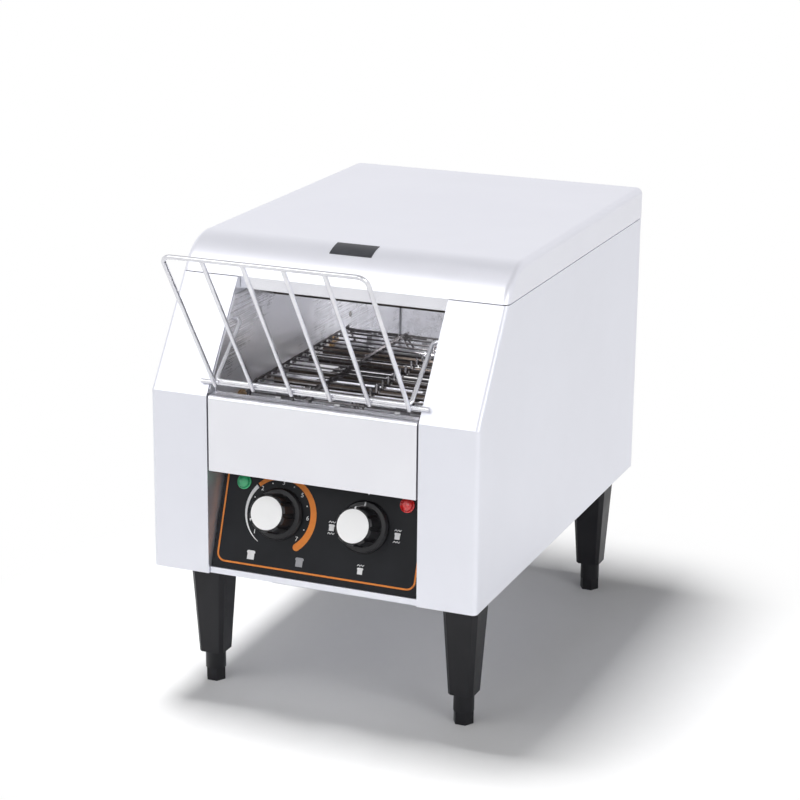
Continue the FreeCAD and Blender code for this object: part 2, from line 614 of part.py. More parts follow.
def make_liners():
    """Rear liner, heat shield, reflector and chute, folded from thin sheet."""
    rear = body("rear_liner")
    wide = "(tunnel_half - seat_gap)"
    gap = "(casing_depth - 2 * panel_sheet)"
    foot = "(outlet_height + 2)"
    pad(rear, "x", f"-{wide}", f"2 * {wide}",
        [(LINER_BACK, foot), (LINER_BACK, TUNNEL_HEAD),
         (f"{LINER_BACK} + liner_sheet", TUNNEL_HEAD), (f"{LINER_BACK} + liner_sheet", f"{foot} + liner_sheet"),
         (gap, f"{foot} + liner_sheet"), (gap, foot)])
    shield = body("heat_shield")
    inner = "(tunnel_half)"
    pad(shield, "z", "shield_height - liner_sheet", "liner_sheet",
        box(f"-{inner}", inner, "shield_front", "shield_end"))
    pad(shield, "y", "shield_front", "liner_sheet",
        box(f"-{inner}", inner, "shield_height - liner_sheet", "front_panel_head - panel_sheet - 2"))
    for start in ("-tunnel_half", "tunnel_half - liner_sheet"):
        pad(shield, "x", start, "liner_sheet",
            box("shield_front", "shield_end", "shield_height - liner_sheet", "shield_height + shield_flange"))
    ceiling = body("upper_reflector")
    over = f"({COLUMN} - seat_gap)"
    pad(ceiling, "z", TUNNEL_HEAD, "liner_sheet",
        box(f"-{over}", over, "header_back + header_flange", f"{LINER_BACK} + liner_sheet"))
    chute = body("discharge_chute")
    top = "shield_height - liner_sheet"
    surface = [("shield_end", top), ("shield_end + 10", f"{top} - 4"),
               ("shield_end + 0.75 * chute_run", f"{top} - 0.86 * chute_drop"),
               ("shield_end + chute_run", f"{top} - chute_drop")]
    under = [(f"{u} - 0.6 * liner_sheet", f"{v} - liner_sheet") for u, v in reversed(surface)]
    pad(chute, "x", "-tunnel_half", "2 * tunnel_half", surface + under)


def make_tray():
    """Pull-out tray that takes the toast and the crumbs."""
    item = body("discharge_tray")
    floor = f"({DECK} + tray_float)"
    back = "(casing_depth + tray_reach)"
    pad(item, "z", floor, "tray_wall", box("-tray_half", "tray_half", "tray_front", back))
    hollow(item, "liner_sheet", lambda face: lies_at(face, z=f"{floor} + tray_wall")
           or lies_at(face, y=back))
    pad(item, "y", f"{back} - liner_sheet", "liner_sheet",
        box("-tray_half", "tray_half", floor, f"{floor} + tray_wall / 2"))
    document.recompute()


def bent(points, bend, steps):
    """Points along straight runs whose corners are bent to a radius in a number of steps."""
    path = [points[0]]
    for before, corner, after in zip(points, points[1:], points[2:]):
        inward = (before - corner).normalize()
        outward = (after - corner).normalize()
        half_angle = inward.getAngle(outward) / 2
        middle = (inward + outward).normalize()
        centre = corner + middle * (bend / math.sin(half_angle))
        side = (outward - inward).normalize()
        spread = math.pi / 2 - half_angle
        for step in range(steps + 1):
            turn = spread * (2 * step / steps - 1)
            path.append(centre - middle * (bend * math.cos(turn)) + side * (bend * math.sin(turn)))
    path.append(points[-1])
    return path


def make_heaters():
    """Hairpin heater tubes, above the belt and inside it, and the clips under their bends."""
    radius = number("heater_radius")
    bend = number("heater_bend")
    left = -number("tunnel_half + heater_tail")
    right = number("heater_reach") + bend
    for label, height in (("upper_heaters", UPPER_HEATER), ("lower_heaters", SHAFT_Z)):
        level = number(height)
        tubes = []
        for order in (0, 1):
            middle = number(f"heater_first + {order} * heater_spacing")
            near = middle - bend
            far = middle + bend
            path = [Vector(left, near, level), Vector(right, near, level), Vector(right, far, level),
                    Vector(left, far, level)]
            tubes.append(strand(bent(path, bend * 0.98, 6), radius, 12))
        shaped(label, tubes)
    clips = []
    sheet_size = number("liner_sheet")
    wall = number("tunnel_half")
    for height in (UPPER_HEATER, SHAFT_Z):
        for order in (0, 1):
            middle = number(f"heater_first + {order} * heater_spacing")
            top = number(f"{height} - heater_radius")
            shelf = Part.makeBox(wall - right + 10, bend, sheet_size,
                                 Vector(right - 10, middle - bend / 2, top - sheet_size))
            upright = Part.makeBox(sheet_size, bend, 3 * radius,
                                   Vector(wall - sheet_size, middle - bend / 2, top - sheet_size))
            clips.append(shelf.fuse(upright).removeSplitter())
    shaped("heater_clips", clips)


def strand(points, radius, sides):
    """A faceted wire along straight runs with mitred corners, as one closed solid."""
    rings = []
    runs = [(after - before).normalize() for before, after in zip(points, points[1:])]
    across = runs[0].cross(Vector(0.31, 0.17, 0.93)).normalize()
    for index, point in enumerate(points):
        before = runs[max(index - 1, 0)]
        after = runs[min(index, len(runs) - 1)]
        plane = (before + after).normalize()
        if index == 0:
            other = before.cross(across)
            spots = [point + across * (radius * math.cos(turn)) + other * (radius * math.sin(turn))
                     for turn in (2 * math.pi * side / sides for side in range(sides))]
        else:
            spots = [spot + before * ((point - spot).dot(plane) / before.dot(plane)) for spot in rings[-1]]
        rings.append(spots)
    faces = [Part.Face(Part.makePolygon(ring + ring[:1])) for ring in (rings[0], rings[-1])]
    for low, high in zip(rings, rings[1:]):
        for side in range(sides):
            after = (side + 1) % sides
            corners = [low[side], low[after], high[after], high[side], low[side]]
            faces.append(Part.Face(Part.makePolygon(corners)))
    solid = Part.Solid(Part.makeShell(faces))
    if solid.Volume < 0:
        solid.reverse()
    return solid


def belt_strand():
    """One wire of the belt, whose slanted loops take hold of the next wire."""
    radius = number("belt_wire")
    pitch = number("belt_pitch")
    half = number("belt_half")
    joint = number("belt_joint")
    hold = 2 * radius + 0.15
    reach = pitch + hold
    lift = hold * reach / pitch
    leg = 1.4
    slant = 2 * leg + 2 * radius + 1.2
    hook = 2 * radius + 0.7
    right = [Vector(joint - leg, 0, 0), Vector(joint - slant - leg, reach, lift),
             Vector(joint - slant + leg, reach, -lift), Vector(joint + leg, 0, 0),
             Vector(half, 0, 0), Vector(half - hook, reach, lift),
             Vector(half - hook, reach, -lift), Vector(half - hook, pitch - hold - 1, -0.6 * lift)]
    left = [Vector(-spot.x, spot.y, spot.z) for spot in reversed(right)]
    return strand(left + right, radius, 5)


def make_belt():
    """The closed wire belt, one solid for each wire, seated on the sprockets at both ends."""
    pitch = number("belt_pitch")
    teeth = int(number("belt_teeth"))
    spans = int(number("belt_spans"))
    radius = number(BELT_RADIUS)
    height = number(SHAFT_Z)
    ends = (number("belt_front"), number(SHAFT_BACK))
    spots = [(ends[0] + step * pitch, height + radius) for step in range(spans)]
    for turn in range(teeth // 2):
        angle = math.pi / 2 - 2 * math.pi * turn / teeth
        spots.append((ends[1] + radius * math.cos(angle), height + radius * math.sin(angle)))
    spots += [(ends[1] - step * pitch, height - radius) for step in range(spans)]
    for turn in range(teeth // 2):
        angle = -math.pi / 2 - 2 * math.pi * turn / teeth
        spots.append((ends[0] + radius * math.cos(angle), height + radius * math.sin(angle)))
    pattern = belt_strand()
    wires = []
    for (y, z), (next_y, next_z) in zip(spots, spots[1:] + spots[:1]):
        lean = math.degrees(math.atan2(next_z - z, next_y - y))
        wire = pattern.copy()
        wire.Placement = Placement(Vector(0, y, z), Rotation(Vector(1, 0, 0), lean))
        wires.append(wire)
    shaped("belt", wires)


def make_belt_sprocket():
    """A wheel whose teeth point between the belt's wires and clear them at every turn, kept only as copies."""
    item = cross_body("belt_sprocket", "0", "0", SHAFT_Z, kept=False)
    crest = f"({BELT_RADIUS} - belt_wire - seat_gap)"
    seat = f"({crest} - tooth_height)"
    pad(item, "z", "-sprocket_width / 2", "sprocket_width",
        circle("0", "0", seat), circle("0", "0", "shaft_radius"))
    half = "180 / belt_teeth"
    tooth = pad(item, "z", "-sprocket_width / 2", "sprocket_width",
                [(f"{seat} * 0.9 * cos({half} - 14)", f"{seat} * 0.9 * sin({half} - 14)"),
                 (f"{crest} * cos({half} - 5)", f"{crest} * sin({half} - 5)"),
                 (f"{crest} * cos({half} + 5)", f"{crest} * sin({half} + 5)"),
                 (f"{seat} * 0.9 * cos({half} + 14)", f"{seat} * 0.9 * sin({half} + 14)")])
    ring_of(item, tooth, "belt_teeth")
    return item


def make_conveyor():
    """Shafts, belt sprockets and bearings."""
    drive = cross_body("drive_shaft", "0", SHAFT_BACK, SHAFT_Z)
    pad(drive, "z", "-shaft_left", "shaft_left + drive_end", circle("0", "0", "shaft_radius"))
    idler = cross_body("idler_shaft", "0", "belt_front", SHAFT_Z)
    pad(idler, "z", "-shaft_left", "2 * shaft_left", circle("0", "0", "shaft_radius"))
    wheel = make_belt_sprocket()
    for label, back in (("drive_sprockets", SHAFT_BACK), ("idler_sprockets", "belt_front")):
        copies(label, wheel, [(across, back, "0") for across in ("-sprocket_spread", "0", "sprocket_spread")])
    bearing = cross_body("bearing", "0", "0", SHAFT_Z, kept=False)
    bore = circle("0", "0", "shaft_radius + foot_gap")
    pad(bearing, "z", "tunnel_half - bush_flange", "bush_flange",
        circle("0", "0", "shaft_radius + bush_wall + 2"), bore)
    pad(bearing, "z", "tunnel_half", "bush_length", circle("0", "0", "shaft_radius + bush_wall"), bore)
    document.recompute()
    solids = []
    for back in ("belt_front", SHAFT_BACK):
        for side in (1, -1):
            twin = bearing.Shape.copy()
            if side < 0:
                twin = twin.mirror(Vector(), Vector(1, 0, 0))
            twin.translate(Vector(0, number(back), 0))
            solids.append(twin)
    item = document.addObject("Part::Feature", "shaft_bearings")
    item.Label = "shaft_bearings"
    item.Shape = Part.makeCompound(solids)
    pieces.append(item)


def make_chain_wheel(label, teeth, pitch_radius, bore, y, z, phase):
    """A chain sprocket, its teeth pointing between the rollers and clear of them at every turn."""
    item = cross_body(label, "chain_offset", y, z)
    crest = f"({pitch_radius} - roller_radius - seat_gap)"
    root = f"({crest} - tooth_height / 2)"
    width = "(roller_length - 2 * link_plate)"
    pad(item, "z", f"-{width} / 2", width, circle("0", "0", root), circle("0", "0", bore))
    flank = f"(asin((chain_pitch / 2 - roller_radius - seat_gap) / {pitch_radius}))"
    tooth = pad(item, "z", f"-{width} / 2", width,
                [(f"{root} * 0.92 * cos({phase} - {flank})", f"{root} * 0.92 * sin({phase} - {flank})"),
                 (f"{crest} * cos({phase} - {flank} / 3)", f"{crest} * sin({phase} - {flank} / 3)"),
                 (f"{crest} * cos({phase} + {flank} / 3)", f"{crest} * sin({phase} + {flank} / 3)"),
                 (f"{root} * 0.92 * cos({phase} + {flank})", f"{root} * 0.92 * sin({phase} + {flank})")])
    ring_of(item, tooth, teeth)
    pad(item, "z", "-3 * roller_length", f"3 * roller_length - {width} / 2",
        circle("0", "0", f"{bore} + 3"), circle("0", "0", bore))


def chain_route():
    """Places of the chain's pins, from the top wheel's first seat and round the loop."""
    top = Vector(0, number(SHAFT_BACK), number(SHAFT_Z))
    low = Vector(0, number(MOTOR_Y), number(MOTOR_Z))
    big = number(DRIVEN_RADIUS)
    small = number(DRIVING_RADIUS)
    down = (low - top).normalize()
    side = Vector(0, -down.z, down.y)
    apart = (low - top).Length
    ease = math.acos((big - small) / apart)
    run = apart * math.sin(ease)
    big_arc = big * (2 * math.pi - 2 * ease)
    small_arc = small * 2 * ease
    total = big_arc + small_arc + 2 * run
    count = int(number("chain_links"))

    def around(centre, radius, angle):
        return centre + down * (radius * math.cos(angle)) + side * (radius * math.sin(angle))

    spots = []
    for index in range(count):
        gone = total * index / count
        if gone < big_arc:
            spots.append(around(top, big, ease + gone / big))
        elif gone < big_arc + run:
            start = around(top, big, -ease)
            end = around(low, small, -ease)
            spots.append(start + (end - start) * ((gone - big_arc) / run))
        elif gone < big_arc + run + small_arc:
            spots.append(around(low, small, -ease + (gone - big_arc - run) / small))
        else:
            start = around(low, small, ease)
            end = around(top, big, ease)
            spots.append(start + (end - start) * ((gone - big_arc - run - small_arc) / run))
    return spots


def tooth_phase(route, y, z, pitch_radius, teeth):
    """Angle of a wheel's first tooth, half a step past the middle roller that lies on the wheel."""
    centre = Vector(0, number(y), number(z))
    radius = number(pitch_radius)
    seated = [spot - centre for spot in route if abs((spot - centre).Length - radius) < 0.01]
    middle = seated[len(seated) // 2]
    return f"{math.degrees(math.atan2(middle.z, middle.y)) + 180 / number(teeth):.3f} deg"


def prism(points, thickness):
    """A flat solid that grows along x from corner points."""
    return Part.Face(Part.makePolygon(points + points[:1])).extrude(Vector(thickness, 0, 0))


def make_chain():
    """Roller chain, with inner and outer link plates in turn."""
    spots = chain_route()
    across = number("chain_offset")
    roller = number("roller_radius")
    length = number("roller_length")
    plate = number("link_plate")
    links = []
    for order, (spot, following) in enumerate(zip(spots, spots[1:] + spots[:1])):
        along = (following - spot).normalize()
        high = Vector(0, -along.z, along.y)
        ring = [spot + (along * math.cos(turn) + high * math.sin(turn)) * roller
                for turn in (math.pi * side / 4 for side in range(8))]
        solid = prism([point + Vector(across - length / 2, 0, 0) for point in ring], length)
        shape = [spot - along * 2.2 - high * 1.2, spot - along * 2.2 + high * 1.2,
                 spot + high * 2.4, following + high * 2.4, following + along * 2.2 + high * 1.2,
                 following + along * 2.2 - high * 1.2, following - high * 2.4, spot - high * 2.4]
        shift = length / 2 + (plate if order % 2 else 0)
        for start in (across - shift - plate, across + shift):
            solid = solid.fuse(prism([point + Vector(start, 0, 0) for point in shape], plate))
        links.append(solid)
    return links


def make_drive():
    """Chain wheels, chain, motor and its bracket."""
    route = chain_route()
    make_chain_wheel("driven_sprocket", "driven_teeth", DRIVEN_RADIUS, "shaft_radius", SHAFT_BACK, SHAFT_Z,
                     tooth_phase(route, SHAFT_BACK, SHAFT_Z, DRIVEN_RADIUS, "driven_teeth"))
    make_chain_wheel("motor_sprocket", "driving_teeth", DRIVING_RADIUS, "output_radius", MOTOR_Y, MOTOR_Z,
                     tooth_phase(route, MOTOR_Y, MOTOR_Z, DRIVING_RADIUS, "driving_teeth"))
    shaped("drive_chain", make_chain())
    output = cross_body("motor_output", "0", MOTOR_Y, MOTOR_Z)
    face = "(tunnel_half + liner_sheet)"
    pad(output, "z", f"{face} - gearbox_width / 2", f"drive_end - {face} + gearbox_width / 2",
        circle("0", "0", "output_radius"))
    motor = cross_body("gear_motor", "0", MOTOR_Y, MOTOR_Z)
    half = "gearbox_side / 2"
    pad(motor, "z", f"{face} - gearbox_width", "gearbox_width", box(f"-{half}", half, f"-{half}", half))
    pad(motor, "z", f"{face} - gearbox_width - motor_length", "motor_length", circle("0", "0", "motor_radius"))
    cut(motor, "z", f"{face} - gearbox_width / 2 - 1", "gearbox_width / 2 + 2",
        circle("0", "0", "output_radius + foot_gap"))
    bracket = body("motor_bracket")
    side = f"({half} + 4)"
    pad(bracket, "x", face, "bracket_sheet",
        box(f"{MOTOR_Y} - {side}", f"{MOTOR_Y} + {side}", DECK, f"{MOTOR_Z} + {side}"),
        circle(MOTOR_Y, MOTOR_Z, "output_radius + 4"))
    pad(bracket, "z", DECK, "bracket_sheet",
        box(face, f"{face} + 24", f"{MOTOR_Y} - {side}", f"{MOTOR_Y} + {side}"))


def make_fan():
    """Square axial fan over the vent pan."""
    frame = body("fan_frame", "0", "fan_back", DECK)
    half = "fan_side / 2"
    pad(frame, "z", "0", "fan_height", box(f"-{half}", half, f"-{half}", half), circle("0", "0", "fan_bore"))
    round_off(frame, "fold_radius", lambda edge: edge.BoundBox.ZLength > 1 and edge.BoundBox.XLength < 0.01
              and edge.BoundBox.YLength < 0.01 and abs(edge.BoundBox.YMax) > number(half) - 1)
    for turn in (0, 90):
        long_side = box("-fan_bore - 1", "fan_bore + 1", "-2.5", "2.5")
        upright = box("-2.5", "2.5", "-fan_bore - 1", "fan_bore + 1")
        pad(frame, "z", "0", "pin_radius", long_side if turn else upright)
    pad(frame, "z", "0", "pin_radius + 1", circle("0", "0", "hub_radius"))
    pad(frame, "z", "0", "fan_height - 6", circle("0", "0", "pin_radius"))
    rotor = body("fan_rotor", "0", "fan_back", DECK)
    low = "(pin_radius + 1 + seat_gap)"
    pad(rotor, "z", low, f"fan_height - 1 - {low}", circle("0", "0", "hub_radius"))
    cut(rotor, "z", f"{low} - 1", f"fan_height - 5 - {low} + 1", circle("0", "0", "pin_radius + foot_gap"))
    blade = pad(rotor, "x", "hub_radius - 1", "fan_bore - 1.5 - hub_radius + 1",
                [("-9", low), ("-7.6", low), ("9", "fan_height - 1.5"), ("7.6", "fan_height - 1.5")])
    ring_of(rotor, blade, "blade_count")


def make_knob(label, cap_label, spindle_label, across):
    """A fluted knob, its flat cap and the spindle that it turns."""
    knob = panel_body(label, across, "knob_height")
    low = "knob_gap"
    shoulder = "(knob_gap + knob_skirt_height)"
    spin(knob, [("0", low), ("knob_skirt_radius", low), ("knob_skirt_radius", f"{low} + knob_skirt_height / 2"),
                ("knob_skirt_radius - 1.4", shoulder), ("knob_body_radius + 1", f"{shoulder} + 0.6"),
                ("knob_body_radius", "knob_length - 1"), ("knob_body_radius - 1", "knob_length"),
                ("0", "knob_length")])
    flute = cut(knob, "z", f"{shoulder} + 0.6", "knob_length",
                [("knob_body_radius - flute_depth", "-flute_width / 4"),
                 ("knob_body_radius + 2", "-flute_width / 2"), ("knob_body_radius + 2", "flute_width / 2"),
                 ("knob_body_radius - flute_depth", "flute_width / 4")])
    ring_of(knob, flute, "flute_count")
    cut(knob, "z", "knob_length - cap_recess", "5", circle("0", "0", "cap_radius"))
    cut(knob, "z", "-1", "nut_height + 2 * knob_gap + 1", circle("0", "0", "nut_flats / 2 / cos(30) + 1.2"))
    cut(knob, "z", "0", "knob_length - cap_recess - 3", circle("0", "0", "spindle_radius"))
    cap = panel_body(cap_label, across, "knob_height")
    pad(cap, "z", "knob_length - cap_recess", "cap_recess + 0.5", circle("0", "0", "cap_radius"))
    spindle = panel_body(spindle_label, across, "knob_height")
    pad(spindle, "z", "-control_depth / 2 - panel_plate",
        "control_depth / 2 + panel_plate + knob_length - cap_recess - 3", circle("0", "0", "spindle_radius"))


def make_controls():
    """Knobs, the switches behind them, nuts and lamps."""
    make_knob("speed_knob", "speed_cap", "speed_spindle", "-knob_offset")
    make_knob("selector_knob", "selector_cap", "selector_spindle", "knob_offset")
    bore = circle("0", "0", "spindle_radius + foot_gap")
    speed = panel_body("speed_control", "-knob_offset", "knob_height")
    half = "control_width / 2"
    pad(speed, "z", "-panel_plate - control_depth", "control_depth", box(f"-{half}", half, f"-{half}", half))
    pad(speed, "z", "-panel_plate", "panel_plate + nut_height + 0.6", circle("0", "0", "bush_radius"))
    cut(speed, "z", "-panel_plate - control_depth / 2 - 1", "panel_plate + control_depth + 6", bore)
    switch = panel_body("selector_switch", "knob_offset", "knob_height")
    pad(switch, "z", "-panel_plate - switch_depth", "switch_depth", circle("0", "0", "switch_radius"))
    pad(switch, "z", "-panel_plate", "panel_plate + nut_height + 0.6", circle("0", "0", "bush_radius"))
    cut(switch, "z", "-panel_plate - control_depth / 2 - 1", "panel_plate + control_depth + 6", bore)
    nut = panel_body("bush_nut", "0", "knob_height", kept=False)
    pad(nut, "z", "0", "nut_height", hexagon("nut_flats"), circle("0", "0", "bush_radius"))
    document.recompute()
    shifts = [("-knob_offset", "0", "0"), ("knob_offset", "0", "0")]
    copies("spindle_nuts", nut, shifts)
    for label, across in (("green_lamp", "-lamp_offset"), ("red_lamp", "lamp_offset")):
        lamp = panel_body(label, across, "lamp_height")
        lens = "lamp_radius"
        spin(lamp, [("0", "-lamp_depth"), ("lamp_barrel", "-lamp_depth"), ("lamp_barrel", "0"),
                    (f"{lens} + 0.8", "0"), (f"{lens} + 0.8", "1.2"), (lens, "1.6"),
                    (f"{lens} * 0.85", "3.2"), (f"{lens} * 0.5", "4.4"), ("0", "4.9")])


def make_electrics():
    """Terminal block on the base plate and cord gland in the rear panel."""
    block = body("terminal_block", f"-{HALF} + 22", "casing_depth - 96", DECK)
    pad(block, "z", "0", "12", box("-11", "11", "-30", "30"))
    pad(block, "z", "12", "8", box("-4", "4", "-30", "30"))
    clamp = cut(block, "z", "13", "9", box("-5", "5", "-24.6", "-23.4"))
    row_of(block, clamp, "Y_Axis", "7", "8")
    gland = body("cord_gland", "-gland_across", "casing_depth - panel_sheet", "gland_height", (1, 0, 0), "-90")
    reach = "(gland_reach + panel_sheet)"
    spin(gland, [("cord_radius", "-panel_sheet - 8"), ("gland_radius - 2.2", "-panel_sheet - 8"),
                 ("gland_radius - 2.2", "0"), ("gland_radius + 2", "0"), ("gland_radius + 2", "4"),
                 ("gland_radius", "4.5"), ("gland_radius - 1.5", f"{reach} - 2"),
                 ("cord_radius + 1.5", reach), ("cord_radius", reach)])


def make_leg(label, back):
    """One tapered leg with its top flange and the bore for its foot."""
    item = body(label, "leg_across", back, "0")

    def ring(width):
        half = f"{width} / 2"
        corner = f"({width} / 2 - {width} / 8)"
        return [(half, f"-{corner}"), (half, corner), (corner, half), (f"-{corner}", half),
                (f"-{half}", corner), (f"-{half}", f"-{corner}"), (f"-{corner}", f"-{half}"),
                (corner, f"-{half}")]

    top = sketch(item, "z", "panel_sheet", [ring("leg_top")])
    low = sketch(item, "z", LEG_FOOT, [ring("leg_bottom")])
    loft = item.newObject("PartDesign::AdditiveLoft", f"{label}_loft")
    loft.Profile = top
    loft.Sections = [low]
    loft.Ruled = True
    pad(item, "z", "panel_sheet - leg_flange", "leg_flange", ring("(leg_top + 2)"))
    cut(item, "z", LEG_FOOT + " - 1", "foot_length - foot_hexagon + 4",
        circle("0", "0", "foot_radius + foot_gap"))
    cut(item, "z", "-16", "18", circle("0", "0", "bolt_radius"))
    return item


def make_foot(label, back):
    """One screwed foot with its hexagon."""
    item = body(label, "leg_across", back, "-standing_height")
    pad(item, "z", "0", "foot_hexagon", hexagon("foot_flats"))
    pad(item, "z", "foot_hexagon", "foot_length - foot_hexagon - foot_travel + 12",
        circle("0", "0", "foot_radius"))
    return item


def make_stand():
    """Four legs, their feet and the bolts that hold the legs."""
    for end, back in (("front", "leg_front"), ("rear", LEG_BACK)):
        mirrored(f"leg_{end}_left", make_leg(f"leg_{end}_right", back))
        mirrored(f"foot_{end}_left", make_foot(f"foot_{end}_right", back))
    bolt = body("leg_bolt", "0", "0", "0", kept=False)
    pad(bolt, "z", DECK, "4", hexagon("bolt_radius * 3.4"))
    pad(bolt, "z", "-14", f"14 + {DECK}", circle("0", "0", "bolt_radius"))
    copies("leg_bolts", bolt, [(f"{side} * leg_across", back, "0")
                               for side in (-1, 1) for back in ("leg_front", LEG_BACK)])


def make_rack():
    """Wire load rack: hinged frame, cross rod and the grid that bread leans on."""
    wire = number("rack_wire")
    half = number("rack_half")
    bend = number("rack_bend")
    tip = number("rack_tip")
    pivot = Vector(0, number("rack_pivot_back"), number(RACK_PIVOT))
    rod = Vector(0, number(ROD_Y), number(ROD_Z))
    crest = Vector(0, number("-rack_reach + rack_wire"), number("rack_rise"))
    arm = (pivot - rod).normalize()
    above = Vector(0, -arm.z, arm.y)
    if above.y > 0:
        above = above * -1
    bar = rod + above * (2 * wire - 0.15)
    frame = [Vector(-tip, pivot.y, pivot.z), Vector(-half, pivot.y, pivot.z), Vector(-half, bar.y, bar.z),
             Vector(half, bar.y, bar.z), Vector(half, pivot.y, pivot.z), Vector(tip, pivot.y, pivot.z)]
    shaped("rack_frame", [strand(bent(frame, 2.5 * wire, 4), wire, 12)])
    rod_half = number("rack_rod_half")
    shaped("rack_rod", [strand([Vector(-rod_half, rod.y, rod.z), Vector(rod_half, rod.y, rod.z)], wire, 12)])
    up = (crest - bar).normalize()
    outside = Vector(0, -up.z, up.y)
    if outside.y > 0:
        outside = outside * -1
    foot = bar + outside * (2 * wire - 0.15)
    rise = (crest - foot).normalize()
    low = foot - rise * wire
    loop = [Vector(-half, low.y, low.z), Vector(-half, crest.y, crest.z), Vector(half, crest.y, crest.z),
            Vector(half, low.y, low.z)]
    grid = strand(bent(loop, bend, 6), wire, 12)
    bars = int(number("rack_bars"))
    for index in range(1, bars - 1):
        across = -half + 2 * half * index / (bars - 1)
        run = [Vector(across, low.y, low.z), Vector(across, crest.y, crest.z)]
        grid = grid.fuse(strand(run, wire * 0.93, 8))
    shaped("rack_grid", [grid.removeSplitter()])


make_side_panel()
make_lid()
make_front_panel()
make_header()
make_base()
make_vent_pan()
make_rear_panel()
make_control_panel()
make_tunnel_wall("right_tunnel_wall", 1)
make_tunnel_wall("left_tunnel_wall", -1)
make_liners()
make_tray()
make_heaters()
make_belt()
make_conveyor()
make_drive()
make_fan()
make_controls()
make_electrics()
make_stand()
make_rack()
document.recompute()

# Check every object, then write one file for each piece
for item in document.Objects:
    if "Invalid" in item.State or "Error" in item.State:
        raise RuntimeError(f"{item.Label} did not build: {item.State}")
for item in pieces:
    if item.Shape.isNull() or not item.Shape.isValid():
        raise RuntimeError(f"{item.Label} has no valid shape")
os.makedirs("parts", exist_ok=True)
for item in pieces:
    item.Shape.exportStep(f"parts/{item.Label}.step")
print(len(pieces), "pieces")
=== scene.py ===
"""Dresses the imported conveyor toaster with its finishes, prints, wires and screws, in a plain studio."""
import json
import logging
import math
from dataclasses import dataclass, field
from enum import Enum
from typing import Any, Iterable, Optional, Union

import bmesh
import bpy
from mathutils import Matrix, Vector

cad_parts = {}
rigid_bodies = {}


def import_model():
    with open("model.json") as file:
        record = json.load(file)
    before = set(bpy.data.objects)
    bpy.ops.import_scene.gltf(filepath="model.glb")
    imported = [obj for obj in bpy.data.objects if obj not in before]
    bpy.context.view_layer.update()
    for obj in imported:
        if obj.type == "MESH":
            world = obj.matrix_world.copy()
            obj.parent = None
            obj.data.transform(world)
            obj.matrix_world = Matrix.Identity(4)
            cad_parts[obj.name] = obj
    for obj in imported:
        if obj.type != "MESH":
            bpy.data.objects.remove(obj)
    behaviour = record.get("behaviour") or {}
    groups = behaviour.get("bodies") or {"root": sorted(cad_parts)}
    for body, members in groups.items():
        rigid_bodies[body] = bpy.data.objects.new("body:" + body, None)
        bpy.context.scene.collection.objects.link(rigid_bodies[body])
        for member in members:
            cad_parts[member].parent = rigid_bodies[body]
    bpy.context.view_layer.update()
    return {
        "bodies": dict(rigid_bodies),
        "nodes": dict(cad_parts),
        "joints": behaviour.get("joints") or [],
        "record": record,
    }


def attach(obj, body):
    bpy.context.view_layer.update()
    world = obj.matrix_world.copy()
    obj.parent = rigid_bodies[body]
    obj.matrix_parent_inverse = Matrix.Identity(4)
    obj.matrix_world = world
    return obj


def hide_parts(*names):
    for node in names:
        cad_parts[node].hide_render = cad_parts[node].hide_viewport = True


log = logging.getLogger("toaster")

Number = Union[int, float]
Colour = tuple[float, float, float]
Point = tuple[float, float]
MM = 0.001
SPEED_DIAL: Point = (-38.3, 50.5)
SELECTOR_DIAL: Point = (38.3, 50.5)
CASING = "casing"
PRINT_SLOT = "panel_black"


class Term:
    """A number socket in a node tree; Python's operators on it add Math nodes."""

    def __init__(self, shader: "Shader", socket: Optional[bpy.types.NodeSocket]) -> None:
        """Wrap one output socket.

        Args:
            shader: The node tree that the socket is in.
            socket: The output that the term stands for, if the node has one.
        """
        self.shader = shader
        self.socket = socket

    def math(self, operation: str, first: Any, second: Any = None, clamp: bool = False) -> "Term":
        """Add one Math node.

        Args:
            operation: Blender's name of the operation.
            first: Its first value or link.
            second: Its second value or link, if it takes one.
            clamp: Whether the result stays between 0 and 1.

        Returns:
            The node's result as a term.
        """
        values = {0: first} if second is None else {0: first, 1: second}
        return self.shader.node("ShaderNodeMath", {"operation": operation, "use_clamp": clamp}, values)

    def __add__(self, other: Any) -> "Term":
        """Sum with a number or term."""
        return self.math("ADD", self, other)

    __radd__ = __add__

    def __mul__(self, other: Any) -> "Term":
        """Product with a number or term."""
        return self.math("MULTIPLY", self, other)

    __rmul__ = __mul__

    def __sub__(self, other: Any) -> "Term":
        """Difference from a number or term."""
        return self.math("SUBTRACT", self, other)

    def __rsub__(self, other: Any) -> "Term":
        """Difference of a number and this term."""
        return self.math("SUBTRACT", other, self)

    def within(self, low: Number, high: Number) -> "Term":
        """Rise smoothly from 0 at low to 1 at high.

        Args:
            low: Value that gives 0.
            high: Value that gives 1.

        Returns:
            The smoothed step.
        """
        return self.shader.node("ShaderNodeMapRange", {"interpolation_type": "SMOOTHSTEP"},
                                {"Value": self, "From Min": low, "From Max": high})


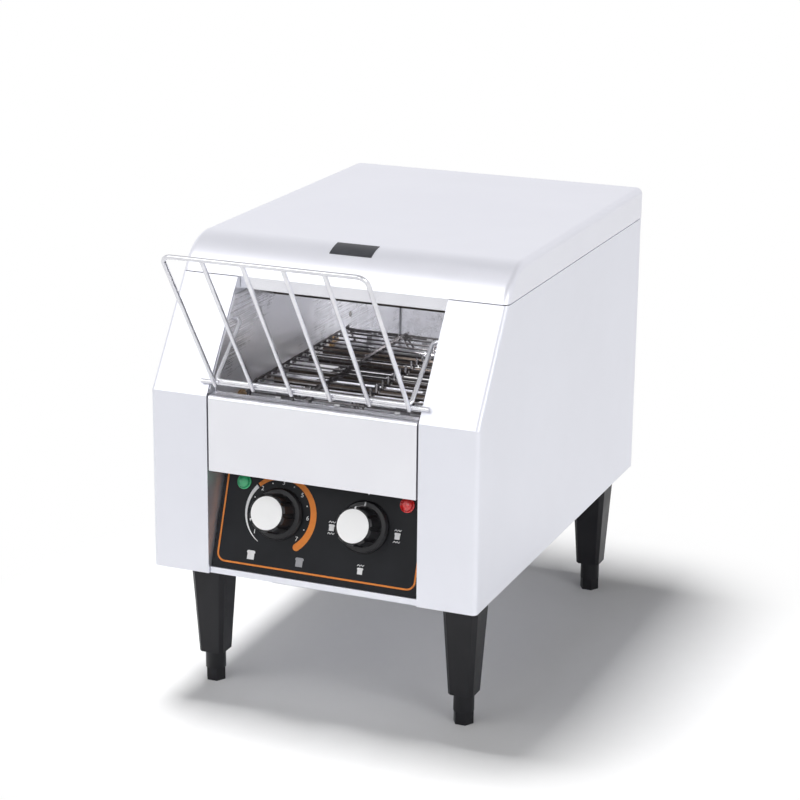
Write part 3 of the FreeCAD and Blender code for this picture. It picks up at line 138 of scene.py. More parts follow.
class Shader:
    """One node tree and the calls that fill it."""

    def __init__(self, owner: Union[bpy.types.Material, bpy.types.World]) -> None:
        """Start with an empty tree.

        Args:
            owner: The material or world whose tree is filled.
        """
        owner.use_nodes = True
        self.owner = owner
        self.tree = owner.node_tree
        self.tree.nodes.clear()

    @classmethod
    def material(cls, name: str) -> "Shader":
        """Start a new material of this name."""
        return cls(bpy.data.materials.new(name))

    def node(self, kind: str, settings: Optional[dict[str, Any]] = None,
             inputs: Optional[dict[Any, Any]] = None, output: Union[int, str] = 0) -> Term:
        """Add any node.

        Args:
            kind: Blender's type name.
            settings: Its properties, set first; a ramp's stops go under "stops".
            inputs: Values or terms for its sockets, by name or number.
            output: The output that is wanted.

        Returns:
            That output as a term; its socket is None where the node has no output.
        """
        made = self.tree.nodes.new(kind)
        for key, value in (settings or {}).items():
            if key == "stops":
                ramp = made.color_ramp.elements
                while len(ramp) < len(value):
                    ramp.new(0.5)
                for element, (place, colour) in zip(ramp, value):
                    element.position = place
                    element.color = (*colour, 1.0)
            else:
                setattr(made, key, value)
        for key, value in (inputs or {}).items():
            if isinstance(value, Term):
                self.tree.links.new(value.socket, made.inputs[key])
            else:
                made.inputs[key].default_value = value
        return Term(self, made.outputs[output] if made.outputs else None)

    def place(self) -> Term:
        """Object coordinates in metres, which move with the piece."""
        return self.node("ShaderNodeTexCoord", output="Object")

    def stretched(self, scale: tuple[float, float, float]) -> Term:
        """Object coordinates multiplied along each axis.

        Args:
            scale: Factor along x, y and z.

        Returns:
            The stretched coordinates.
        """
        return self.node("ShaderNodeVectorMath", {"operation": "MULTIPLY"}, {0: self.place(), 1: scale})

    def noise(self, vector: Term, scale: float, detail: float = 3.0, roughness: float = 0.55) -> Term:
        """Noise between about 0.3 and 0.7.

        Args:
            vector: Coordinates.
            scale: Patches per unit of the coordinates.
            detail: Number of finer layers.
            roughness: Weight of the finer layers.

        Returns:
            The noise value.
        """
        return self.node("ShaderNodeTexNoise", None, {"Vector": vector, "Scale": scale, "Detail": detail,
                                                      "Roughness": roughness})

    def blend(self, factor: Any, low: Any, high: Any) -> Term:
        """Mix two colours.

        Args:
            factor: Share of the second colour.
            low: Colour at 0.
            high: Colour at 1.

        Returns:
            The mixed colour.
        """
        low = low if isinstance(low, Term) else (*low, 1.0)
        high = high if isinstance(high, Term) else (*high, 1.0)
        colours = {"Factor": factor, 6: low, 7: high}
        return self.node("ShaderNodeMix", {"data_type": "RGBA"}, colours, output=2)

    def bump(self, height: Term, depth: float) -> Term:
        """Turn a height into a normal.

        Args:
            height: Height between 0 and 1.
            depth: Metres between 0 and 1.

        Returns:
            The normal.
        """
        return self.node("ShaderNodeBump", None, {"Height": height, "Strength": 1.0, "Distance": depth})

    def surface(self, constants: dict[str, Any], varying: dict[str, Any]) -> bpy.types.Material:
        """End the tree in a Principled shader.

        Args:
            constants: Plain values of its sockets.
            varying: Terms that change over the surface.

        Returns:
            The finished material.
        """
        result = self.node("ShaderNodeBsdfPrincipled", None, {**constants, **varying})
        self.node("ShaderNodeOutputMaterial", None, {"Surface": result})
        return self.owner


class Grain(Enum):
    """How a finish's fine marks run, as a factor on x, y and z."""

    ALONG_X = (14.0, 2600.0, 2600.0)
    ALONG_Y = (2600.0, 14.0, 2600.0)
    ALONG_Z = (2600.0, 2600.0, 14.0)
    EVEN = (1400.0, 1400.0, 1400.0)


@dataclass(frozen=True)
class Finish:
    """A solid finish: two close colours in soft patches, with fine marks in gloss and relief."""

    name: str
    colour: Colour
    shade: Colour
    metallic: float = 0.0
    roughness: float = 0.4
    spread: float = 0.1
    grain: Grain = Grain.EVEN
    patch: float = 9.0
    relief: float = 0.000004
    coat: float = 0.0
    streak: float = 0.25
    gloss: float = 0.5

    def make(self) -> bpy.types.Material:
        """Build the finish's material.

        Returns:
            The material.
        """
        shader = Shader.material(self.name)
        patches = shader.noise(shader.place(), self.patch, 4.0).within(0.3, 0.7)
        marks = shader.noise(shader.stretched(self.grain.value), 1.0, 2.0, 0.7)
        tone = (patches * (1.0 - self.streak)) + (marks * self.streak)
        colour = shader.blend(tone, self.shade, self.colour)
        rough = self.roughness + (marks - 0.5) * self.spread + (patches - 0.5) * (self.spread * 0.6)
        constants = {"Metallic": self.metallic, "Coat Weight": self.coat, "Coat Roughness": 0.08,
                     "Specular IOR Level": self.gloss}
        relief = shader.bump(marks, self.relief)
        return shader.surface(constants, {"Base Color": colour, "Roughness": rough, "Normal": relief})


@dataclass(frozen=True)
class HeatedWire:
    """Wire or sheath that heat has darkened, with straw and blue tints in patches."""

    name: str
    dark: Colour
    tint: Colour
    bare: Colour
    roughness: float = 0.38
    patch: float = 22.0
    scale: float = 420.0
    worn: float = 0.7
    relief: float = 0.00001

    def make(self) -> bpy.types.Material:
        """Build the wire's material.

        Returns:
            The material.
        """
        shader = Shader.material(self.name)
        wide = shader.noise(shader.place(), self.patch, 4.0).within(0.34, 0.66)
        fine = shader.noise(shader.place(), self.scale, 3.0, 0.7)
        tinted = shader.blend(wide, self.dark, self.tint)
        colour = shader.blend(fine.within(0.56, 0.72) * self.worn, tinted, self.bare)
        rough = self.roughness + (fine - 0.5) * 0.3
        relief = shader.bump(fine, self.relief)
        return shader.surface({"Metallic": 0.9}, {"Base Color": colour, "Roughness": rough, "Normal": relief})


@dataclass(frozen=True)
class Lens:
    """Clear coloured plastic over a reflector, with painted glow: paler where it faces the camera and lit by
    its own emission.
    """

    name: str
    deep: Colour
    bright: Colour
    painted_glow: float = 0.12
    relief: float = 0.000008

    def make(self) -> bpy.types.Material:
        """Build the lens's material.

        Returns:
            The material.
        """
        shader = Shader.material(self.name)
        # Painted glow: the lens is paler where it faces the camera and emits that colour, in place of light
        # off the reflector.
        facing = shader.node("ShaderNodeLayerWeight", None, {"Blend": 0.4}, output="Facing")
        flaw = shader.noise(shader.place(), 900.0, 2.0)
        colour = shader.blend(facing, self.bright, self.deep)
        constants = {"Coat Weight": 1.0, "Coat Roughness": 0.04, "IOR": 1.5, "Emission Strength": self.painted_glow}
        return shader.surface(constants, {"Base Color": colour, "Emission Color": colour,
                                          "Roughness": 0.12 + flaw * 0.1,
                                          "Normal": shader.bump(flaw, self.relief)})


STEEL_SHEET = (0.83, 0.84, 0.90)
STEEL_SHADE = (0.78, 0.79, 0.85)
FINISHES = {
    # The side, lid and front sheets are one steel: the front's and lid's paler colour and the sides' darker
    # colour are painted light, following how brightly each face is lit; their gloss and grain differ for
    # real.
    "side": Finish("side_sheet", STEEL_SHEET, STEEL_SHADE, metallic=0.85, roughness=0.42,
                   grain=Grain.ALONG_Y, patch=5.0, relief=0.000002),
    "top": Finish("lid_sheet", (0.85, 0.855, 0.91), (0.79, 0.795, 0.855), metallic=0.85, roughness=0.38,
                  grain=Grain.ALONG_X, patch=5.0, relief=0.000002),
    "front": Finish("front_sheet", (0.86, 0.865, 0.905), (0.80, 0.80, 0.85), metallic=0.9,
                    roughness=0.24, spread=0.08, grain=Grain.ALONG_X, patch=6.0, relief=0.0000015),
    "liner": Finish("liner_sheet", (0.82, 0.82, 0.85), (0.72, 0.72, 0.75), metallic=0.7, roughness=0.3,
                    spread=0.14, grain=Grain.ALONG_Y, patch=14.0, relief=0.000003),
    "tray": Finish("tray_sheet", (0.74, 0.74, 0.76), (0.66, 0.66, 0.69), metallic=0.95, roughness=0.3,
                   spread=0.12, grain=Grain.ALONG_X, patch=12.0, relief=0.000002),
    "panel": Finish("panel_enamel", (0.012, 0.013, 0.016), (0.008, 0.009, 0.011), roughness=0.33,
                    spread=0.08, patch=30.0, gloss=0.22),
    "knob": Finish("knob_moulding", (0.016, 0.016, 0.018), (0.010, 0.010, 0.012), roughness=0.34,
                   spread=0.14, patch=60.0, relief=0.000012, gloss=0.4),
    "cap": Finish("cap_moulding", (0.90, 0.90, 0.90), (0.87, 0.87, 0.875), roughness=0.3, spread=0.06,
                  patch=40.0, relief=0.000002, coat=0.2),
    "leg": Finish("leg_moulding", (0.014, 0.014, 0.017), (0.007, 0.007, 0.009), roughness=0.42,
                  spread=0.18, grain=Grain.ALONG_Z, patch=24.0, relief=0.000010, gloss=0.3),
    "steel": Finish("turned_steel", (0.58, 0.58, 0.60), (0.46, 0.46, 0.48), metallic=1.0, roughness=0.3,
                    spread=0.14, grain=Grain.ALONG_X, patch=40.0),
    "zinc": Finish("zinc_plate", (0.66, 0.67, 0.66), (0.56, 0.57, 0.58), metallic=1.0, roughness=0.36,
                   spread=0.16, patch=120.0),
    "chain": Finish("oiled_steel", (0.30, 0.29, 0.28), (0.16, 0.15, 0.15), metallic=1.0, roughness=0.36,
                    spread=0.2, patch=160.0),
    "bronze": Finish("sintered_bronze", (0.56, 0.38, 0.20), (0.42, 0.27, 0.14), metallic=1.0,
                     roughness=0.42, spread=0.16, patch=200.0),
    "motor": Finish("motor_paint", (0.20, 0.21, 0.23), (0.15, 0.16, 0.18), spread=0.12, patch=50.0,
                    relief=0.00001, coat=0.15),
    "black": Finish("black_nylon", (0.03, 0.03, 0.032), (0.018, 0.018, 0.02), roughness=0.5,
                    spread=0.14, patch=60.0, relief=0.00001),
    "terminal": Finish("white_nylon", (0.80, 0.79, 0.75), (0.72, 0.70, 0.66), roughness=0.45,
                       patch=60.0),
    "wire": Finish("bright_wire", (0.80, 0.80, 0.83), (0.66, 0.66, 0.70), metallic=1.0, roughness=0.2,
                   patch=60.0),
    "belt": HeatedWire("belt_wire", (0.10, 0.095, 0.098), (0.17, 0.16, 0.165), (0.42, 0.41, 0.41), 0.32),
    "sheath": HeatedWire("heater_sheath", (0.07, 0.062, 0.06), (0.15, 0.12, 0.10), (0.24, 0.22, 0.21), 0.5),
    "green": Lens("green_lens", (0.004, 0.10, 0.035), (0.02, 0.42, 0.16)),
    "red": Lens("red_lens", (0.22, 0.004, 0.006), (0.80, 0.03, 0.03)),
    "white_ink": Finish("white_print", (0.84, 0.84, 0.85), (0.78, 0.78, 0.79), roughness=0.5,
                        spread=0.06, patch=300.0),
    "grey_ink": Finish("grey_print", (0.36, 0.36, 0.38), (0.32, 0.32, 0.34), roughness=0.5, spread=0.06,
                       patch=300.0),
    "orange_ink": Finish("orange_print", (0.82, 0.26, 0.035), (0.76, 0.22, 0.03), roughness=0.5,
                         spread=0.06, patch=300.0),
    "plate": Finish("dark_plate", (0.035, 0.036, 0.042), (0.022, 0.023, 0.028), metallic=0.3,
                    roughness=0.36, patch=90.0),
}

NODE_FINISHES = {
    "side": ("left_side_panel", "right_side_panel", "base_plate", "rear_panel", "vent_pan"),
    "top": ("lid",),
    "front": ("front_panel", "header_strip"),
    "liner": ("left_tunnel_wall", "right_tunnel_wall", "rear_liner", "heat_shield", "upper_reflector",
              "heater_clips"),
    "tray": ("discharge_chute", "discharge_tray"),
    "panel": ("control_panel",),
    "knob": ("speed_knob", "selector_knob"),
    "cap": ("speed_cap", "selector_cap"),
    "leg": ("leg_front_left", "leg_front_right", "leg_rear_left", "leg_rear_right", "foot_front_left",
            "foot_front_right", "foot_rear_left", "foot_rear_right"),
    "steel": ("drive_shaft", "idler_shaft", "drive_sprockets", "idler_sprockets", "driven_sprocket",
              "motor_sprocket", "motor_output", "speed_spindle", "selector_spindle"),
    "zinc": ("motor_bracket", "spindle_nuts", "leg_bolts"),
    "chain": ("drive_chain",),
    "bronze": ("shaft_bearings",),
    "motor": ("gear_motor",),
    "black": ("fan_frame", "fan_rotor", "speed_control", "selector_switch", "cord_gland"),
    "terminal": ("terminal_block",),
    "wire": ("rack_frame", "rack_grid", "rack_rod"),
    "belt": ("belt",),
    "sheath": ("upper_heaters", "lower_heaters"),
    "green": ("green_lamp",),
    "red": ("red_lamp",),
}


class Workshop:
    """Keeps the made materials and turns meshes into pieces that ride on a body."""

    def __init__(self, frame: dict[str, Any]) -> None:
        """Make every material.
        """
        self.frame = frame
        self.materials = {key: finish.make() for key, finish in FINISHES.items()}

    def dress_nodes(self) -> None:
        """Give every CAD node its finish."""
        for key, nodes in NODE_FINISHES.items():
            for name in nodes:
                mesh = self.frame["nodes"][name].data
                mesh.materials.clear()
                mesh.materials.append(self.materials[key])
        bare = [name for name, item in self.frame["nodes"].items() if not item.data.materials]
        log.info("nodes without a finish: %s", bare)

    def keep(self, piece: bpy.types.Object, finish: str, body: str, slot: str,
             replaced: Iterable[str] = ()) -> bpy.types.Object:
        """Finish a piece and hang it on its body.

        Args:
            piece: The object.
            finish: Key of its finish.
            body: Name of the body that it rides on.
            slot: The record's material slot; not used.
            replaced: CAD nodes that it stands for.

        Returns:
            The same object.
        """
        piece.data.materials.clear()
        piece.data.materials.append(self.materials[finish])
        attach(piece, body)
        if replaced:
            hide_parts(*replaced)
        log.info("piece %s rides on %s", piece.name, body)
        return piece

    def from_bmesh(self, name: str, mesh: bmesh.types.BMesh, smooth: bool = False) -> bpy.types.Object:
        """Turn a bmesh into an object.

        Args:
            name: Name of the piece.
            mesh: Its mesh, which is freed.
            smooth: Whether its faces shade smoothly.

        Returns:
            The new object.
        """
        bmesh.ops.recalc_face_normals(mesh, faces=mesh.faces)
        data = bpy.data.meshes.new(name)
        mesh.to_mesh(data)
        mesh.free()
        for face in data.polygons:
            face.use_smooth = smooth
        item = bpy.data.objects.new(name, data)
        bpy.context.scene.collection.objects.link(item)
        return item

    def wires(self, name: str, runs: Iterable[tuple[list[Vector], bool]], radius: float) -> bpy.types.Object:
        """Round wires as one curve object.

        Args:
            name: Name of the piece.
            runs: Points of each wire in metres, and whether it closes.
            radius: Radius of the wire.

        Returns:
            The new object.
        """
        curve = bpy.data.curves.new(name, "CURVE")
        curve.dimensions = "3D"
        curve.bevel_depth = radius
        curve.bevel_resolution = 4
        curve.use_fill_caps = True
        for points, closed in runs:
            spline = curve.splines.new("POLY")
            spline.points.add(len(points) - 1)
            for target, point in zip(spline.points, points):
                target.co = (*point, 1.0)
            spline.use_cyclic_u = closed
            spline.use_smooth = True
        item = bpy.data.objects.new(name, curve)
        bpy.context.scene.collection.objects.link(item)
        return item


def bent(points: list[Vector], bend: float, steps: int = 8) -> list[Vector]:
    """Round the corners of straight runs.

    Args:
        points: The corners and the two ends.
        bend: Radius at each corner.
        steps: Points along each bend.

    Returns:
        Points along the bent path.
    """
    path = [points[0]]
    for before, corner, after in zip(points, points[1:], points[2:]):
        inward = (before - corner).normalized()
        outward = (after - corner).normalized()
        half = inward.angle(outward) / 2
        middle = (inward + outward).normalized()
        centre = corner + middle * (bend / math.sin(half))
        side = (outward - inward).normalized()
        for step in range(steps + 1):
            turn = (math.pi / 2 - half) * (2 * step / steps - 1)
            path.append(centre - middle * (bend * math.cos(turn)) + side * (bend * math.sin(turn)))
    path.append(points[-1])
    return path


def arc(centre: Point, radius: float, start: float, end: float, steps: int) -> list[Point]:
    """Points on an arc, in degrees.

    Args:
        centre: Centre of the arc.
        radius: Its radius.
        start: Angle of the first point.
        end: Angle of the last point.
        steps: Number of spans.

    Returns:
        The points.
    """
    turns = [math.radians(start + (end - start) * step / steps) for step in range(steps + 1)]
    return [(centre[0] + radius * math.cos(turn), centre[1] + radius * math.sin(turn)) for turn in turns]


@dataclass
class PanelPlane:
    """The sloping control panel's own plane: across, up the slope, and out of it, in mm."""

    foot: tuple[float, float, float] = (0.0, -166.5, 124.0)
    lean_degrees: float = 19.65

    @property
    def slope(self) -> Vector:
        """Direction up the panel's face."""
        lean = math.radians(self.lean_degrees)
        return Vector((0.0, math.sin(lean), math.cos(lean)))

    @property
    def out(self) -> Vector:
        """Direction out of the panel's face."""
        return Vector((0.0, -self.slope.z, self.slope.y))

    def at(self, across: float, up: float, height: float = 0.0) -> Vector:
        """A point of the panel in the row frame, in metres.

        Args:
            across: Distance to the right of the middle.
            up: Distance up the slope from the panel's foot.
            height: Distance out of the panel's face.

        Returns:
            The point.
        """
        return (Vector(self.foot) + Vector((across, 0, 0)) + self.slope * up + self.out * height) * MM

    def matrix(self, across: float, up: float, height: float) -> Matrix:
        """The pose of a flat piece that lies on the panel.

        Args:
            across: Distance to the right of the middle.
            up: Distance up the slope.
            height: Distance out of the face.

        Returns:
            The pose.
        """
        turn = Matrix((Vector((1, 0, 0)), self.slope, self.out)).transposed().to_4x4()
        return Matrix.Translation(self.at(across, up, height)) @ turn


@dataclass
class PrintedScale:
    """Everything printed on the control panel, in mm and degrees: frame line, dial scale and signs."""

    shop: Workshop
    plane: PanelPlane = field(default_factory=PanelPlane)
    dial: Point = SPEED_DIAL
    marks: tuple[str, ...] = ("1", "", "", "", "2", "", "3", "", "5", "", "6", "", "7")
    first_mark: float = 221.0
    mark_step: float = 22.1
    mark_radius: float = 26.0
    figure_size: float = 5.2
    figure_lift: float = 0.02
    dot_radius: float = 0.55
    frame_edge: float = 88.2
    frame_foot: float = 5.7
    frame_top: float = 92.0
    frame_corner: float = 7.0
    frame_width: float = 1.5
    white_span: Point = (238.0, 137.0)
    white_inner: Point = (29.0, 28.4)
    white_outer: Point = (29.4, 31.6)
    orange_span: Point = (134.0, -52.0)
    orange_inner: Point = (28.4, 28.4)
    orange_outer: Point = (31.7, 34.6)
    slice_body: float = 0.82
    slice_shoulder: float = 0.35
    slice_lobe: float = 0.38
    heat_places: Point = (4.6, -4.8)
    heat_half: float = 3.0
    heat_spans: int = 5
    heat_rise: float = 0.7
    heat_width: float = 0.5
    bread_light: Point = (-58.3, 13.9)
    bread_dark: Point = (-14.4, 13.9)
    bread_size: float = 7.5
    small_bread_size: float = 5.4
    selector_signs: tuple[tuple[Point, int], ...] = (((9.9, 46.0), 2), ((67.8, 47.0), 2), ((39.7, 14.5), 1))
    selector_dot: Point = (38.4, 77.5)
    selector_dot_radius: float = 0.8
    sunk: float = 0.03
    proud: float = 0.05

    def flat(self, name: str, outlines: list[list[Point]], finish: str, lift: float = 0.0) -> None:
        """Lay thin printed shapes on the panel.

        Args:
            name: Name of the piece.
            outlines: Outer line of each shape, in the panel's plane.
            finish: Key of its ink.
            lift: Extra height where one print lies on another.
        """
        mesh = bmesh.new()
        for outline in outlines:
            low = [mesh.verts.new(self.plane.at(x, v, lift - self.sunk)) for x, v in outline]
            high = [mesh.verts.new(self.plane.at(x, v, lift + self.proud)) for x, v in outline]
            mesh.faces.new(high)
            mesh.faces.new(low[::-1])
            for index in range(len(outline)):
                after = (index + 1) % len(outline)
                mesh.faces.new((low[index], low[after], high[after], high[index]))
        item = self.shop.from_bmesh(name, mesh)
        self.shop.keep(item, finish, CASING, PRINT_SLOT)

    def strip(self, path: list[Point], width: float) -> list[list[Point]]:
        """Split a line of even width into four-cornered shapes.

        Args:
            path: Middle of the line.
            width: Its width.

        Returns:
            One outline for each span.
        """
        shapes = []
        for (x0, v0), (x1, v1) in zip(path, path[1:]):
            length = math.hypot(x1 - x0, v1 - v0)
            side = (-(v1 - v0) / length * width / 2, (x1 - x0) / length * width / 2)
            shapes.append([(x0 + side[0], v0 + side[1]), (x0 - side[0], v0 - side[1]),
                           (x1 - side[0], v1 - side[1]), (x1 + side[0], v1 + side[1])])
        return shapes

    def frame_line(self) -> None:
        """The orange line that runs round the panel, open at the top."""
        corner, side = self.frame_corner, self.frame_edge - self.frame_corner
        level = self.frame_foot + corner
        path = [(-self.frame_edge, self.frame_top)] + arc((-side, level), corner, 180, 270, 8)
        path += arc((side, level), corner, 270, 360, 8) + [(self.frame_edge, self.frame_top)]
        self.flat("panel_frame_line", self.strip(path, self.frame_width), "orange_ink")

    def band(self, span: Point, inner: Point, outer: Point, steps: int) -> list[list[Point]]:
        """A band round the dial whose width changes evenly.

        Args:
            span: First and last angle.
            inner: Inner radius at the first and last angle.
            outer: Outer radius at the first and last angle.
            steps: Number of spans.

        Returns:
            One outline for each span.
        """
        start, end = span
        shapes = []
        for step in range(steps):
            corners = []
            for share, order in ((step / steps, 1), ((step + 1) / steps, -1)):
                turn = math.radians(start + (end - start) * share)
                pair = [inner[0] + (inner[1] - inner[0]) * share, outer[0] + (outer[1] - outer[0]) * share]
                corners += [self.round_dial(radius, turn) for radius in pair[::order]]
            shapes.append(corners)
        return shapes

    def round_dial(self, radius: float, turn: float) -> Point:
        """The spot at this radius and angle, in radians, from the speed dial's middle."""
        return (self.dial[0] + radius * math.cos(turn), self.dial[1] + radius * math.sin(turn))

    def dial_arc(self) -> None:
        """The arc round the speed dial: thin and white at the left, broad and orange at the right."""
        thin = self.band(self.white_span, self.white_inner, self.white_outer, 16)
        self.flat("dial_arc_white", thin, "white_ink")
        broad = self.band(self.orange_span, self.orange_inner, self.orange_outer, 30)
        inner, outer, end = self.orange_inner[1], self.orange_outer[1], self.orange_span[1]
        middle = self.round_dial((inner + outer) / 2, math.radians(end))
        tip = arc(middle, (outer - inner) / 2, end - 180, end, 8)
        self.flat("dial_arc_orange", broad + [tip], "orange_ink")

    def numerals(self) -> None:
        """Plain numbers and dots round the speed dial."""
        dots = []
        for order, mark in enumerate(self.marks):
            spot = self.round_dial(self.mark_radius, math.radians(self.first_mark - self.mark_step * order))
            if mark:
                self.figure(mark, spot, order)
            else:
                dots.append(arc(spot, self.dot_radius, 0, 330, 11))
        self.flat("dial_dots", dots, "white_ink")

    def figure(self, mark: str, spot: Point, order: int) -> None:
        """One number of the dial.

        Args:
            mark: The number.
            spot: Its middle on the panel.
            order: Its place round the dial, for the piece's name.
        """
        curve = bpy.data.curves.new(f"dial_number_{order}", "FONT")
        curve.body = mark
        curve.align_x = "CENTER"
        curve.align_y = "CENTER"
        curve.size = self.figure_size * MM
        curve.extrude = self.proud * MM
        item = bpy.data.objects.new(f"dial_number_{order}", curve)
        bpy.context.scene.collection.objects.link(item)
        item.matrix_world = self.plane.matrix(spot[0], spot[1], self.figure_lift)
        self.shop.keep(item, "white_ink", CASING, PRINT_SLOT)

    def slice_shape(self, spot: Point, size: float) -> list[Point]:
        """Outline of a slice of bread.

        Args:
            spot: Its middle.
            size: Its width.

        Returns:
            The outline.
        """
        x, v = spot
        half = size / 2
        body, shoulder, lobe = half * self.slice_body, half * self.slice_shoulder, half * self.slice_lobe
        right = arc((x + half - lobe, v + half - lobe), lobe, -30, 90, 5)
        left = arc((x - half + lobe, v + half - lobe), lobe, 90, 210, 5)
        foot = [(x - body, v - half), (x + body, v - half), (x + body, v + shoulder)]
        return foot + right + left + [(x - body, v + shoulder)]

    def signs(self) -> None:
        """Bread slices, selector signs and the dots beside them."""
        self.flat("bread_sign_light", [self.slice_shape(self.bread_light, self.bread_size)], "white_ink")
        self.flat("bread_sign_dark", [self.slice_shape(self.bread_dark, self.bread_size)], "grey_ink")
        shapes = [arc(self.selector_dot, self.selector_dot_radius, 0, 330, 11)]
        for (x, v), heated in self.selector_signs:
            shapes.append(self.slice_shape((x, v), self.small_bread_size))
            for place in self.heat_places[:heated]:
                shapes += self.wave((x, v + place))
        self.flat("selector_signs", shapes, "white_ink")

    def wave(self, spot: Point) -> list[list[Point]]:
        """A short zigzag for a lit heater.

        Args:
            spot: Its middle.

        Returns:
            One outline for each span.
        """
        x, v = spot
        reach, rise = 2 * self.heat_half / self.heat_spans, self.heat_rise
        path = [(x - self.heat_half + reach * step, v + (rise if step % 2 else -rise))
                for step in range(self.heat_spans + 1)]
        return self.strip(path, self.heat_width)

    def build(self) -> None:
        """Print the whole panel."""
        self.frame_line()
        self.dial_arc()
        self.numerals()
        self.signs()


@dataclass
class KnobMarks:
    """White pointer lines on both knobs, from the cap's rim over the grip to the skirt."""

    shop: Workshop
    plane: PanelPlane = field(default_factory=PanelPlane)
    cap_radius: float = 13.8
    grip_radius: float = 16.0
    skirt_radius: float = 21.6
    top: float = 25.0
    shoulder: float = 4.5
    width: float = 1.3
    speed_angle: float = 206.0
    selector_angle: float = 90.0

    def pointer(self, name: str, centre: Point, turn: float, body: str) -> None:
        """One pointer line.

        Args:
            name: Name of the piece.
            centre: The knob's middle on the panel.
            turn: Direction of the pointer in degrees.
            body: Body that the knob rides on.
        """
        angle = math.radians(turn)
        along = (math.cos(angle), math.sin(angle))
        across = (-along[1], along[0])
        rim, grip, foot = self.cap_radius + 0.3, self.grip_radius, self.skirt_radius - 1.3
        top, shoulder = self.top, self.shoulder
        profile = [(rim, top + 0.06), (grip - 0.9, top + 0.06), (grip + 0.12, top - 0.9),
                   (grip + 1.12, shoulder + 0.7), (foot, shoulder + 0.08), (foot, shoulder - 0.3),
                   (grip + 0.6, shoulder + 0.2), (grip - 0.4, top - 1.2), (rim, top - 0.4)]
        mesh = bmesh.new()
        rings = []
        for side in (-self.width / 2, self.width / 2):
            ring = []
            for reach, height in profile:
                x = centre[0] + along[0] * reach + across[0] * side
                v = centre[1] + along[1] * reach + across[1] * side
                ring.append(mesh.verts.new(self.plane.at(x, v, height)))
            rings.append(ring)
        mesh.faces.new(rings[0])
        mesh.faces.new(rings[1][::-1])
        for index in range(len(profile)):
            after = (index + 1) % len(profile)
            mesh.faces.new((rings[0][index], rings[0][after], rings[1][after], rings[1][index]))
        item = self.shop.from_bmesh(name, mesh)
        self.shop.keep(item, "white_ink", body, "cap_white")

    def build(self) -> None:
        """Mark both knobs."""
        self.pointer("speed_pointer", SPEED_DIAL, self.speed_angle, "speed_dial")
        self.pointer("selector_pointer", SELECTOR_DIAL, self.selector_angle, "selector_dial")


@dataclass
class LoadRack:
    """The wire rack in round bright wire: its arms, cross rod and barred grid."""

    shop: Workshop
    wire: float = 1.9
    half: float = 85.0
    tip: float = 98.0
    rod_half: float = 99.8
    bend: float = 8.0
    bars: int = 6
    sunk_share: float = 0.985
    pivot: Point = (-121.5, 326.0)
    rod: Point = (-165.49, 283.12)
    bar: Point = (-168.03, 285.74)
    low: Point = (-169.89, 282.02)
    crest: Point = (-257.6, 408.0)

    def spot(self, across: float, point: Point) -> Vector:
        """A point of the rack in metres."""
        return Vector((across, *point)) * MM

    def build(self) -> None:
        """Bend the frame, the rod and the grid."""
        half, tip, radius = self.half, self.tip, self.wire * MM
        path = [self.spot(-tip, self.pivot), self.spot(-half, self.pivot), self.spot(-half, self.bar),
                self.spot(half, self.bar), self.spot(half, self.pivot), self.spot(tip, self.pivot)]
        self.hang("rack_arms", [(bent(path, 2.5 * radius), False)], radius, "rack_frame")
        rod = [self.spot(-self.rod_half, self.rod), self.spot(self.rod_half, self.rod)]
        self.hang("rack_cross_rod", [(rod, False)], radius, "rack_rod")
        loop = [self.spot(-half, self.low), self.spot(-half, self.crest), self.spot(half, self.crest),
                self.spot(half, self.low)]
        runs = [(bent(loop, self.bend * MM), False)]
        for order in range(1, self.bars - 1):
            across = -half + 2 * half * order / (self.bars - 1)
            runs.append(([self.spot(across, self.low), self.spot(across, self.crest)], False))
        self.hang("rack_wires", runs, radius * self.sunk_share, "rack_grid")

    def hang(self, name: str, runs: list[tuple[list[Vector], bool]], radius: float, node: str) -> None:
        """Hang round wires on the rack's body in place of a node.

        Args:
            name: Name of the piece.
            runs: Points of each wire in metres, and whether it closes.
            radius: Radius of the wire.
            node: CAD node that the wires stand for.
        """
        self.shop.keep(self.shop.wires(name, runs, radius), "wire", "load_rack", "rack_wire", [node])


@dataclass
class LidPlate:
    """The bare dark plate that lies on the lid's rolled front edge, in mm and degrees."""

    shop: Workshop
    centre: tuple[float, float, float] = (-0.4, -69.5, 342.0)
    roll: float = 45.0
    half: float = 18.7
    low: float = 60.6
    high: float = 84.5
    sunk: float = 0.05
    proud: float = 0.25
    steps: int = 8

    def build(self) -> None:
        """Bend the plate round the roll."""
        mesh = bmesh.new()
        rows = []
        for step in range(self.steps + 1):
            angle = math.radians(self.low + (self.high - self.low) * step / self.steps)
            out = Vector((0.0, -math.cos(angle), math.sin(angle)))
            row = []
            for height in (-self.sunk, self.proud):
                for across in (-self.half, self.half):
                    spot = Vector(self.centre) + out * (self.roll + height) + Vector((across, 0.0, 0.0))
                    row.append(mesh.verts.new(spot * MM))
            rows.append(row)
        for near, far in zip(rows, rows[1:]):
            for one, two in ((0, 1), (1, 3), (3, 2), (2, 0)):
                mesh.faces.new((near[one], near[two], far[two], far[one]))
        for row in (rows[0], rows[-1]):
            mesh.faces.new((row[0], row[1], row[3], row[2]))
        item = self.shop.from_bmesh("lid_plate", mesh)
        self.shop.keep(item, "plate", CASING, PRINT_SLOT)


